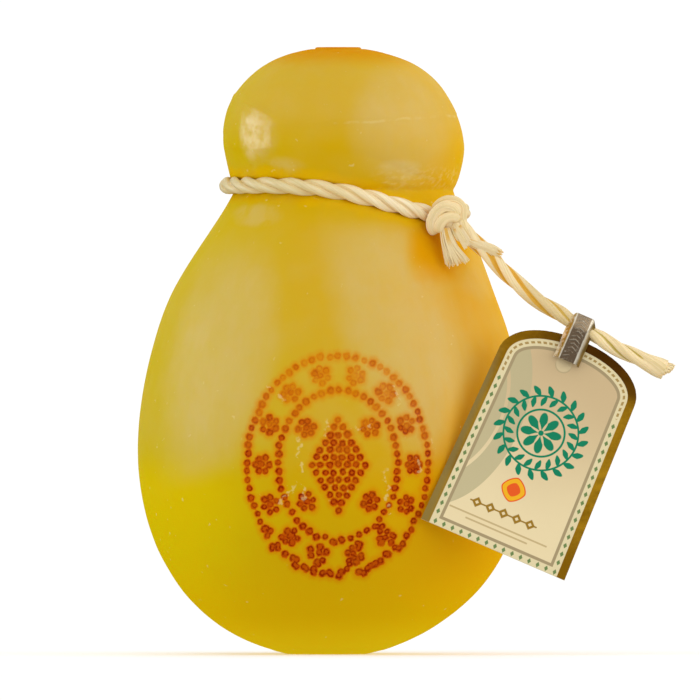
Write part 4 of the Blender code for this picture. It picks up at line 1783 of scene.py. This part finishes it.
@dataclass
class CordTail:
    """The free end of the cord, from the knot through the clip to its frayed cut, with what hangs on it."""

    tag: TagShape
    clip: ClipShape
    rope: Rope
    held: tuple[Object, ...]
    flare: float = 0.20
    flare_length: float = 11.0 * MM
    pinch: float = 0.14
    pinch_length: float = 9.0 * MM
    fibre_count: int = 110
    fibre_turn: float = 0.382
    fibre_thickness: float = 0.45 * MM
    loose_count: int = 24
    seed: int = 5

    route_points = (
        (49.8, -35.2, 152.8), (54.2, -37.4, 148.3), (59.0, -39.8, 143.4), (66.7, -43.2, 135.6),
        (74.0, -45.6, 129.5), (81.8, -47.2, 124.3), (91.3, -48.3, 118.4), (100.4, -48.9, 113.1),
        (105.7, -49.1, 110.3), (113.0, -49.1, 106.8), (121.2, -48.9, 103.4),
    )
    loose_strand = ((48.0, -37.6, 151.0), (52.7, -39.6, 149.0), (58.2, -41.2, 146.9), (62.2, -42.2, 144.6))

    def build(self) -> Object:
        """Makes the cord and its frayed cut.

        Returns:
            The piece with the strands.
        """
        guide = [Vector(point) * MM for point in self.route_points]
        knot_end = guide[0] + (guide[0] - guide[1]) * 0.8
        route = smooth_route([knot_end, *guide], self.rope.step)
        clip_middle = self.tag.frame() @ Vector((self.clip.centre, self.clip.fold, 0.0))
        shares = []
        for place in route:
            opened = float(smooth_step(self.flare_length, 1.0 * MM, (route[-1] - place).length))
            held = float(smooth_step(self.pinch_length, self.clip.width / 2.0, (clip_middle - place).length))
            wide = 1.0 + self.flare * opened - self.pinch * held
            shares.append((wide, min(wide, 1.0), opened))
        bm = bmesh.new()
        self.rope.skin(bm, route, shares)
        finish = Twine().material("tail_twine", 1.0, 42.0, 0.16 * MM)
        piece = piece_from("cord_tail_strands", bm, finish, "twine", "cord_tail")
        frayed = self._frayed(route)
        length = route_length(route)
        LOG.info("the cord's free end is %.1f mm long", length / MM)
        smooth_route([knot_end, *guide], 4.0 * MM)
        return piece

    def _frayed(self, route: Sequence[Vector]) -> Object:
        """Makes the loose fibres at the cut, and the strand that has come loose near the knot.

        Args:
            route: The cord's centre line.

        Returns:
            The piece.
        """
        draw = random.Random(self.seed)
        fibres = Fibres(thickness=self.fibre_thickness, tip_shade=0.1)
        frame = carried_frames(route)[-1]
        bm = bmesh.new()
        for index in range(self.fibre_count):
            turn = math.tau * (index * self.fibre_turn + draw.uniform(-0.05, 0.05))
            layer = math.sqrt((index + 0.5) / self.fibre_count)
            outward = Vector((math.cos(turn), math.sin(turn), 0.0))
            reach = self.rope.radius * layer
            lobe = 1.0 - 0.14 * outward.x
            slant = 2.4 * outward.x * layer
            tip = (1.9 + slant - 1.5 * layer * layer + draw.uniform(-0.3, 0.3)) * MM
            stops = ((-5.0, 0.55), (-2.0, 0.84), (0.0, 1.0 * lobe))
            points = [outward * (reach * swell) + Vector((0.0, 0.0, along * MM)) for along, swell in stops]
            points.append(outward * (reach * 1.16 * lobe) + Vector((0.0, 0.0, tip)))
            facing = frame.to_3x3() @ outward
            fibres.ribbon(bm, [frame @ point for point in points], facing, draw.uniform(1.2, 2.0) * MM, 0.3)
        self._loose(bm, Fibres(tip_shade=0.8, even_shade=0.6), draw)
        return piece_from("cord_tail_fray", bm, Twine().material("tail_fibre", 0.9, 3.0, 0.03 * MM), "twine")

    def _loose(self, bm: BMesh, fibres: Fibres, draw: random.Random) -> None:
        """Adds the cut strand that stands off the cord near the knot.

        Args:
            bm: The bmesh.
            fibres: Makes its ribbons.
            draw: The random numbers.
        """
        across = Vector((0.5, 0.0, 0.86))
        for index in range(self.loose_count):
            side = 2.0 * index / (self.loose_count - 1) - 1.0
            out = Vector((0.0, 0.5 - 1.1 * (1.0 - side * side) - draw.uniform(0.0, 0.3), 0.0))
            points = [
                (Vector(point) + across * side * wide + out) * MM
                for point, wide in zip(self.loose_strand, (0.8, 1.5, 1.9, 1.8))
            ]
            points[-1] += (points[-1] - points[-2]) * draw.uniform(-0.35, 0.15)
            width = draw.uniform(0.4, 0.7) * MM
            fibres.ribbon(bm, points, Vector((0.0, -1.0, 0.3)), width, draw.uniform(0.0, 0.9))


@dataclass(frozen=True)
class Band:
    """One fat band of the knot, in millimetres from the knot's middle.

    Attributes:
        points: Its route.
        widths: Half its width at its start and at its end.
        depth: Half its depth.
    """

    points: tuple[Point, ...]
    widths: Pair
    depth: float


@dataclass
class Knot:
    """The knot, with its short frayed end and a blunt cut end beside it."""

    fibre_count: int = 92
    blunt_count: int = 18
    columns: int = 88
    step: float = 0.5 * MM
    round_rings: float = 4.0
    seed: int = 3

    middle = (42.5, -34.5, 158.2)
    core = (5.6, 4.4, 5.6)
    bands = (
        Band(((5.2, -1.0, -3.4), (5.4, -1.2, 0.6), (5.3, -1.2, 3.8), (3.2, -1.6, 6.0), (0.0, -1.6, 6.4),
              (-2.8, -1.2, 5.0), (-4.4, 0.2, 2.6)), (1.9, 1.9), 1.9),
        Band(((3.6, -2.4, 1.0), (2.4, -3.8, 3.4), (-0.6, -4.4, 4.2), (-3.6, -4.0, 2.4), (-5.3, -3.2, -0.6),
              (-5.3, -2.6, -3.4), (-3.6, -1.6, -5.4)), (2.1, 2.3), 1.8),
        Band(((4.4, -2.6, -0.2), (1.8, -4.6, 0.6), (-1.0, -5.2, -0.2), (-2.8, -4.6, -2.6),
              (-3.0, -3.2, -5.2)), (1.8, 2.0), 1.6),
        Band(((2.0, -2.6, -0.6), (3.6, -3.6, -3.2), (5.4, -4.2, -6.2), (7.2, -4.6, -9.2)), (1.5, 1.7), 1.0),
        Band(((1.2, -2.6, -1.6), (2.6, -3.6, -5.0), (4.4, -4.2, -8.4)), (0.7, 0.8), 0.7),
        Band(((4.6, -1.6, 0.0), (5.4, -1.8, -2.6), (6.9, -1.8, -5.4), (9.2, -2.6, -8.6)), (2.0, 2.3), 2.2),
        Band(((-0.8, -2.4, -2.4), (0.2, -3.4, -6.6), (1.6, -3.8, -11.0), (3.0, -3.8, -14.4)),
             (1.6, 2.9), 1.0),
    )
    front = Vector((0.0, -1.0, 0.0))
    fan_stops = (
        ((-2.4, -3.9, -3.6), (3.0, 0.0, 0.0), 0.4, 0.6),
        ((-1.8, -4.5, -9.4), (4.6, 0.0, 0.6), 0.4, 0.7),
        ((-0.4, -4.5, -17.3), (8.4, 0.0, 1.9), 0.7, 0.7),
    )
    blunt_stops = (((3.6, -4.4, -3.2), 1.4), ((5.4, -5.0, -6.2), 1.6), ((7.4, -5.2, -9.6), 1.8))

    def _band(self, bm: BMesh, band: Band, seed: float) -> None:
        """Adds one fat band of fibre.

        Args:
            bm: The bmesh.
            band: Its route and sizes.
            seed: Where its ribs are read from the noise.
        """
        middle = Vector(self.middle)
        route = smooth_route([(middle + Vector(point)) * MM for point in band.points], self.step)
        frames = carried_frames(route)
        last = len(route) - 1
        outs = []
        for place, frame in zip(route, frames):
            away = place / MM - middle
            away = Vector((away.x * 0.4, away.y * 2.0 - 1.0, max(min(away.z, 5.0), -5.0) * 0.4))
            local = frame.to_3x3().inverted() @ away
            outs.append(math.atan2(local.y, local.x))
        for index in range(1, len(outs)):
            outs[index] = outs[index - 1] + (outs[index] - outs[index - 1] + math.pi) % math.tau - math.pi

        def section(share: float, ring: int) -> tuple[float, float, float]:
            """A flattened outline with lengthwise ribs, closing at both ends."""
            turn = math.tau * share
            end = min(ring, last - ring) / self.round_rings
            close = math.sqrt(max(1.0 - (1.0 - min(end, 1.0)) ** 2, 0.0)) * 0.95 + 0.05
            spot = Vector((math.cos(turn) * 2.1, math.sin(turn) * 2.1, seed + ring * 0.012))
            groove, rib = noise.noise(spot), noise.noise(spot * 3.6)
            swell = (1.0 + 0.10 * groove + 0.10 * rib) * close
            width = band.widths[0] + (band.widths[1] - band.widths[0]) * ring / last
            up, side = band.depth * math.cos(turn) * swell * MM, width * math.sin(turn) * swell * MM
            cos, sin = math.cos(outs[ring]), math.sin(outs[ring])
            # Deepest on the band's inner side, towards the core, where the twine paints shade.
            depth = 0.55 - 1.1 * math.cos(turn) - 0.7 * groove - 1.1 * rib
            return up * cos - side * sin, up * sin + side * cos, depth

        sweep(bm, route, frames, self.columns, section)

    def build(self) -> Object:
        """Makes the knot.

        Returns:
            The piece with the bands.
        """
        bm = bmesh.new()
        core = bmesh.ops.create_icosphere(bm, subdivisions=4, radius=1.0)["verts"]
        size = Matrix.Diagonal((*(Vector(self.core) * MM), 1.0))
        bmesh.ops.transform(bm, matrix=Matrix.Translation(Vector(self.middle) * MM) @ size, verts=core)
        for index, band in enumerate(self.bands):
            self._band(bm, band, index * 3.7)
        finish = Twine().material("knot_twine", 0.9, 20.0, 0.2 * MM)
        piece = piece_from("knot_bands", bm, finish, "twine", "knot")
        self._frayed()
        return piece

    def _frayed(self) -> Object:
        """Makes the fibres that fan out from the short end, and those at the blunt cut.

        Returns:
            The piece.
        """
        draw = random.Random(self.seed)
        fibres = Fibres(even_shade=0.5)
        bm = bmesh.new()
        self._fan(bm, fibres, draw)
        self._blunt(bm, fibres, draw)
        return piece_from("knot_fray", bm, Twine().material("knot_fibre", 0.9, 3.0, 0.03 * MM), "twine")

    def _fan(self, bm: BMesh, fibres: Fibres, draw: random.Random) -> None:
        """Adds the fan of fibres at the short end.

        Args:
            bm: The bmesh.
            fibres: Makes its ribbons.
            draw: The random numbers.
        """
        for index in range(self.fibre_count):
            share = (index + draw.random()) / self.fibre_count
            share += 0.05 * math.sin(share * math.tau * 3.0)
            layer = draw.uniform(-1.0, 1.0)
            bulge = 1.0 - (2.0 * share - 1.0) ** 2
            points = []
            for left, spread, thick, bulged in self.fan_stops:
                out = Vector((0.0, -thick * layer - bulged * bulge, 0.0))
                points.append(Vector(self.middle) + Vector(left) + Vector(spread) * share + out)
            ragged = 1.6 if 0.10 < share < 0.17 else 0.0
            points[-1] += Vector((draw.gauss(0.0, 0.25), 0.0, draw.gauss(0.0, 0.6) + ragged))
            width = draw.uniform(0.4, 0.9) * MM
            fibres.ribbon(bm, [point * MM for point in points], self.front, width, draw.uniform(0.1, 1.0))

    def _blunt(self, bm: BMesh, fibres: Fibres, draw: random.Random) -> None:
        """Adds the fibres of the blunt cut end.

        Args:
            bm: The bmesh.
            fibres: Makes its ribbons.
            draw: The random numbers.
        """
        for index in range(self.blunt_count):
            share = (index + draw.random()) / self.blunt_count
            across = Vector((0.84, 0.0, 0.54)) * (2.0 * share - 1.0)
            points = [Vector(self.middle) + Vector(stop) + across * wide for stop, wide in self.blunt_stops]
            points[-1] += Vector((0.5, 0.0, -0.9)) * draw.random()
            fibres.ribbon(bm, [point * MM for point in points], self.front, draw.uniform(0.6, 1.0) * MM, 0.6)


# ---- the tag and the clip ----


@dataclass
class TagShape:
    """The sizes of the arched card, in metres, and its place, in millimetres and degrees."""

    corner: Point = (33.1, -62.2, 49.8)
    turn: float = 23.3
    lean: float = 8.8
    card_width: float = 56.4 * MM
    shoulder_width: float = 53.4 * MM
    shoulder_height: float = 68.0 * MM
    height: float = 82.9 * MM
    arch_power: float = 2.15
    arch_steps: int = 36
    thickness: float = 0.8 * MM
    setback: float = 1.8 * MM
    boss_place: Pair = (25.4 * MM, 72.3 * MM)
    boss_radius: float = 2.9 * MM

    def frame(self) -> Matrix:
        """The card's own axes: right along its lower edge, up its left side and out of its face.

        Returns:
            The frame, at the card's lower left corner.
        """
        turn, lean = math.radians(self.turn), math.radians(self.lean)
        right = Vector((math.cos(turn), 0.0, -math.sin(turn)))
        upright = Vector((math.sin(turn), 0.0, math.cos(turn)))
        up = upright * math.cos(lean) + Vector((0.0, math.sin(lean), 0.0))
        frame = Matrix((right, up, right.cross(up))).transposed().to_4x4()
        frame.translation = Vector(self.corner) * MM
        return frame

    def outline(self) -> list[Pair]:
        """The card's outline, from its lower left corner over the arch to its lower right corner.

        Returns:
            Places across and up, in metres.
        """
        rise = self.height - self.shoulder_height
        points = [(0.0, 0.0)]
        for index in range(self.arch_steps + 1):
            turn = math.pi * (1.0 - index / self.arch_steps)
            across = math.copysign(abs(math.cos(turn)) ** (2.0 / self.arch_power), math.cos(turn))
            points.append((
                self.card_width / 2.0 + self.shoulder_width / 2.0 * across,
                self.shoulder_height + rise * max(math.sin(turn), 0.0) ** (2.0 / self.arch_power),
            ))
        points.append((self.card_width, 0.0))
        return points


@dataclass
class ClipShape:
    """The sizes of the folded clip, in metres, in the card's axes."""

    centre: float = 25.7 * MM
    bottom: float = 73.5 * MM
    top: float = 91.4 * MM
    fold: float = 86.0 * MM
    width: float = 10.0 * MM
    face_width: float = 5.8 * MM
    depth: float = 8.8 * MM
    top_depth: float = 5.0 * MM
    mouth_depth: float = 5.6 * MM
    setback: float = 0.5 * MM
    wall: float = 0.5 * MM
    edge_round: float = 0.45 * MM
    corner_cut: float = 2.2 * MM
    corner_slope: float = 0.75
    flange_step: float = 0.8 * MM


@dataclass
class Tag:
    """The arched card, cut from a fine sheet."""

    shape: TagShape
    mesh_step: float = 0.7 * MM
    boss_height: float = 0.35 * MM
    edge_crinkle: float = 0.22 * MM
    top_crinkle: float = 0.16 * MM
    sway: float = 0.25 * MM

    def _waves(self, across: float, up: float) -> float:
        """How far the card stands out of its plane.

        Args:
            across: Metres along its lower edge.
            up: Metres up its side.

        Returns:
            Metres out of its face.
        """
        shape = self.shape
        from_boss = math.hypot(across - shape.boss_place[0], up - shape.boss_place[1])
        boss = self.boss_height * float(smooth_step(shape.boss_radius, shape.boss_radius * 0.7, from_boss))
        place = Vector((across, up, 0.0))
        right, middle = smooth_step(51.5, 55.5, across / MM), smooth_step(12.0, 24.0, up / MM)
        middle *= smooth_step(56.0, 44.0, up / MM)
        crinkle = noise.noise(place / (2.6 * MM)) * self.edge_crinkle * float(right * middle)
        top = float(smooth_step(66.0, 76.0, up / MM))
        crinkle += noise.noise(place / (4.0 * MM)) * self.top_crinkle * top
        return boss + crinkle + noise.noise(place / (38.0 * MM)) * self.sway

    def build(self) -> Object:
        """Makes the card.

        Returns:
            The piece.
        """
        shape = self.shape
        outline = shape.outline()
        bm = bmesh.new()
        columns, rows = round(shape.card_width / self.mesh_step), round(shape.height / self.mesh_step)
        bmesh.ops.create_grid(bm, x_segments=columns, y_segments=rows, size=0.5)
        size = Matrix.Diagonal((shape.card_width, shape.height, 1.0, 1.0))
        middle = Matrix.Translation((shape.card_width / 2.0, shape.height / 2.0, 0.0))
        bmesh.ops.transform(bm, matrix=middle @ size, verts=bm.verts)
        for (x0, y0), (x1, y1) in zip(outline, outline[1:]):
            cut_away(bm, (x0, y0, 0.0), (y0 - y1, x1 - x0, 0.0))
        bmesh.ops.recalc_face_normals(bm, faces=bm.faces)
        if bm.faces[:][0].normal.z > 0.0:
            bmesh.ops.reverse_faces(bm, faces=bm.faces)
        bmesh.ops.solidify(bm, geom=bm.faces[:], thickness=shape.thickness)
        self._paint(bm, outline)
        for vertex in bm.verts:
            vertex.co.z += self._waves(vertex.co.x, vertex.co.y) - shape.setback
        bmesh.ops.transform(bm, matrix=shape.frame(), verts=bm.verts)
        return piece_from("tag_card", bm, Card().material(shape), "card", "tag")

    def _paint(self, bm: BMesh, outline: Sequence[Pair]) -> None:
        """Centres the card on its plane and writes its UV map, its front and the distance from its rim.

        Args:
            bm: The flat card.
            outline: Its outline, in metres.
        """
        front = bm.verts.layers.float.new("front")
        rim = bm.verts.layers.float.new("rim_distance")
        places = np.array([vertex.co[:] for vertex in bm.verts])
        middle = (places[:, 2].max() + places[:, 2].min()) / 2.0
        from_rim = line_distance(places[:, 0], places[:, 1], outline) / MM
        for vertex, reach in zip(bm.verts, from_rim):
            vertex.co.z -= middle
            vertex[front] = float(vertex.co.z > 0.0)
            vertex[rim] = float(reach)
        chart_flat(bm)


@dataclass
class Clip:
    """The metal strip folded over the cord and pinched on the card."""

    tag: TagShape
    shape: ClipShape

    def _trim(self, bm: BMesh, place: Point, facing: Point) -> None:
        """Cuts away what lies beyond a plane and closes the cut."""
        bmesh.ops.holes_fill(bm, edges=cut_away(bm, place, facing))

    def build(self) -> Object:
        """Makes the clip: a trimmed block, opened at its sides and mouth, with a thin wall and round folds.

        Returns:
            The piece.
        """
        shape = self.shape
        middle = Vector((shape.centre, (shape.top + shape.bottom) / 2.0, -shape.setback))
        size = Matrix.Diagonal((shape.width, shape.top - shape.bottom, shape.depth, 1.0))
        bm = bmesh.new()
        bmesh.ops.create_cube(bm, size=1.0, matrix=Matrix.Translation(middle) @ size)
        top_run = (shape.depth - shape.top_depth) / 2.0
        mouth_run = (shape.depth - shape.mouth_depth) / 2.0
        flange_run = (shape.width - shape.face_width) / 2.0
        for side in (-1.0, 1.0):
            face = side * shape.depth / 2.0 - shape.setback
            fold = (shape.centre, shape.fold, face)
            self._trim(bm, fold, (0.0, top_run, side * (shape.top - shape.fold)))
            self._trim(bm, fold, (0.0, -mouth_run, side * (shape.fold - shape.bottom)))
            for hand in (-1.0, 1.0):
                edge = (shape.centre + hand * shape.face_width / 2.0, shape.fold, face)
                self._trim(bm, edge, (hand * (shape.depth / 2.0 - shape.flange_step), 0.0, side * flange_run))
        for hand in (-1.0, 1.0):
            corner = (shape.centre + hand * shape.width / 2.0, shape.top - shape.corner_cut, 0.0)
            self._trim(bm, corner, (hand, shape.corner_slope, 0.0))
        bmesh.ops.recalc_face_normals(bm, faces=bm.faces)
        openings = [face for face in bm.faces if abs(face.normal.x) > 0.95 or face.normal.y < -0.9]
        bmesh.ops.delete(bm, geom=openings, context="FACES_ONLY")
        folds = [edge for edge in bm.edges if len(edge.link_faces) == 2]
        bmesh.ops.bevel(
            bm, geom=folds, offset=shape.edge_round, segments=3, profile=0.5, material=-1, affect="EDGES"
        )
        bmesh.ops.recalc_face_normals(bm, faces=bm.faces)
        bmesh.ops.solidify(bm, geom=bm.faces[:], thickness=shape.wall)
        chart_flat(bm)
        bmesh.ops.transform(bm, matrix=self.tag.frame(), verts=bm.verts)
        return piece_from("clip_strip", bm, Tinplate().material(shape), "tinplate", "clip", sharp_angle=50.0)


# ---- the studio ----


class Shows(Enum):
    """What a light reaches: the shading, the reflections or both."""

    SHADING = (True, False)
    REFLECTIONS = (False, True)
    BOTH = (True, True)


@dataclass(frozen=True)
class Softbox:
    """A rectangular soft light that faces the middle of the object.

    Attributes:
        name: Its name.
        azimuth: Degrees to the right of the camera.
        elevation: Degrees up.
        distance: Metres away.
        width: Metres across.
        height: Metres high.
        glow: Its radiance.
        shows: What it reaches.
    """

    name: str
    azimuth: float
    elevation: float
    distance: float
    width: float
    height: float
    glow: float
    shows: Shows = Shows.BOTH

    def place(self, aim: Vector) -> None:
        """Hangs the light.

        Args:
            aim: The point that it faces.
        """
        light = bpy.data.lights.new(self.name, "AREA")
        light.shape = "RECTANGLE"
        light.size, light.size_y = self.width, self.height
        light.energy = self.glow * math.pi * self.width * self.height
        made = bpy.data.objects.new(self.name, light)
        made.visible_camera = False
        made.visible_diffuse, made.visible_glossy = self.shows.value
        turn, rise = math.radians(self.azimuth), math.radians(self.elevation)
        away = Vector((math.sin(turn) * math.cos(rise), -math.cos(turn) * math.cos(rise), math.sin(rise)))
        made.location = aim + away * self.distance
        made.rotation_mode = "QUATERNION"
        made.rotation_quaternion = away.to_track_quat("Z", "Y")
        bpy.context.scene.collection.objects.link(made)


@dataclass
class Studio:
    """Camera, pale floor, white surroundings and soft lights."""

    picture_width: float = 254.5 * MM
    picture_middle: Pair = (7.3 * MM, 110.5 * MM)
    camera_distance: float = 10.0
    sensor_width: float = 36.0
    view_reach: float = 60.0
    aim: Point = (0.0, 0.0, 100.0 * MM)
    floor_radius: float = 0.9
    floor_fade: Pair = (0.3, 0.95)
    floor_colour: Colour = (0.96, 0.96, 0.955)
    floor_glow: float = 0.2
    world_colour: Colour = (1.0, 0.99, 0.975)
    world_shading: float = 0.70
    world_reflections: float = 0.14
    world_backdrop: float = 1.05

    softboxes = (
        Softbox("shade_high", -32.0, 44.0, 1.4, 1.2, 1.2, 0.7, Shows.SHADING),
        Softbox("shade_low_left", -66.0, 6.0, 1.4, 1.0, 0.7, 1.5, Shows.SHADING),
        Softbox("shade_low_right", 48.0, 9.0, 1.4, 1.2, 0.6, 1.4, Shows.SHADING),
        Softbox("shade_side_right", 92.0, 14.0, 1.4, 1.2, 1.0, 1.5, Shows.SHADING),
        Softbox("shade_back", 180.0, 35.0, 1.5, 1.4, 1.0, 0.8, Shows.BOTH),
        Softbox("window_left", -97.0, 9.0, 0.80, 0.68, 0.46, 2.9, Shows.REFLECTIONS),
        Softbox("wall_front", 0.0, 34.0, 1.6, 2.6, 1.5, 0.5, Shows.REFLECTIONS),
        Softbox("window_right", 62.0, 30.0, 1.3, 0.9, 0.9, 1.2, Shows.REFLECTIONS),
        Softbox("ceiling", 15.0, 78.0, 1.5, 1.6, 1.0, 0.5, Shows.REFLECTIONS),
    )

    def camera(self) -> None:
        """Sets up the level camera far in front, with a long lens."""
        lens = bpy.data.cameras.new("camera")
        lens.sensor_width = self.sensor_width
        lens.lens = self.sensor_width * self.camera_distance / self.picture_width
        lens.clip_end = self.view_reach
        made = bpy.data.objects.new("camera", lens)
        made.location = (self.picture_middle[0], -self.camera_distance, self.picture_middle[1])
        made.rotation_euler = (math.pi / 2.0, 0.0, 0.0)
        bpy.context.scene.collection.objects.link(made)
        bpy.context.scene.camera = made

    def lights(self) -> None:
        """Lights the object from white surroundings and soft boxes."""
        scene = bpy.context.scene
        scene.view_settings.view_transform = "Standard"
        world = bpy.data.worlds.new("white_studio")
        scene.world = world
        world.use_nodes = True
        tree = world.node_tree
        backdrop = tree.nodes["Background"]
        backdrop.inputs["Color"].default_value = (*self.world_colour, 1.0)
        ray = tree.nodes.new("ShaderNodeLightPath")
        strength = self.world_shading
        others = {"Is Glossy Ray": self.world_reflections, "Is Camera Ray": self.world_backdrop}
        for kind, shown in others.items():
            choice = tree.nodes.new("ShaderNodeMix")
            tree.links.new(ray.outputs[kind], choice.inputs[0])
            if isinstance(strength, float):
                choice.inputs[2].default_value = strength
            else:
                tree.links.new(strength, choice.inputs[2])
            choice.inputs[3].default_value = shown
            strength = choice.outputs[0]
        tree.links.new(strength, backdrop.inputs["Strength"])
        for softbox in self.softboxes:
            softbox.place(Vector(self.aim))

    def floor(self) -> None:
        """Lays a pale floor that fades out round the object."""
        bm = bmesh.new()
        bmesh.ops.create_circle(bm, cap_ends=True, segments=96, radius=self.floor_radius)
        nodes = Nodes("pale_floor")
        x, y, _ = nodes.parts(nodes.place())
        fade = ((x * x + y * y) ** 0.5 / self.floor_radius).rise(*self.floor_fade)
        material = nodes.dress(
            Base_Color=self.floor_colour, Roughness=0.9, Alpha=1.0 - fade,
            Emission_Color=(1.0, 1.0, 1.0), Emission_Strength=self.floor_glow,
        )
        made = object_from("floor", bm, material)
        made.visible_glossy = False
        made.visible_diffuse = False


# ---- assembly ----


def main() -> None:
    """Builds every piece in order."""
    logging.basicConfig(level=logging.INFO, format="%(name)s: %(message)s")
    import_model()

    studio = Studio()
    studio.camera()
    shape, tag_shape, clip_shape = CheeseShape(), TagShape(), ClipShape()
    tag = Tag(tag_shape).build()
    clip = Clip(tag_shape, clip_shape).build()
    loose_rope = Rope(lay_length=52.0 * MM, strand_share=0.57, start_turn=0.9)
    CordTail(tag_shape, clip_shape, loose_rope, (clip, tag)).build()
    NeckCord(shape, Rope()).build()
    Knot().build()
    Cheese(shape, BurntDots()).build()

    studio.lights()
    studio.floor()


if __name__ == "__main__":
    main()
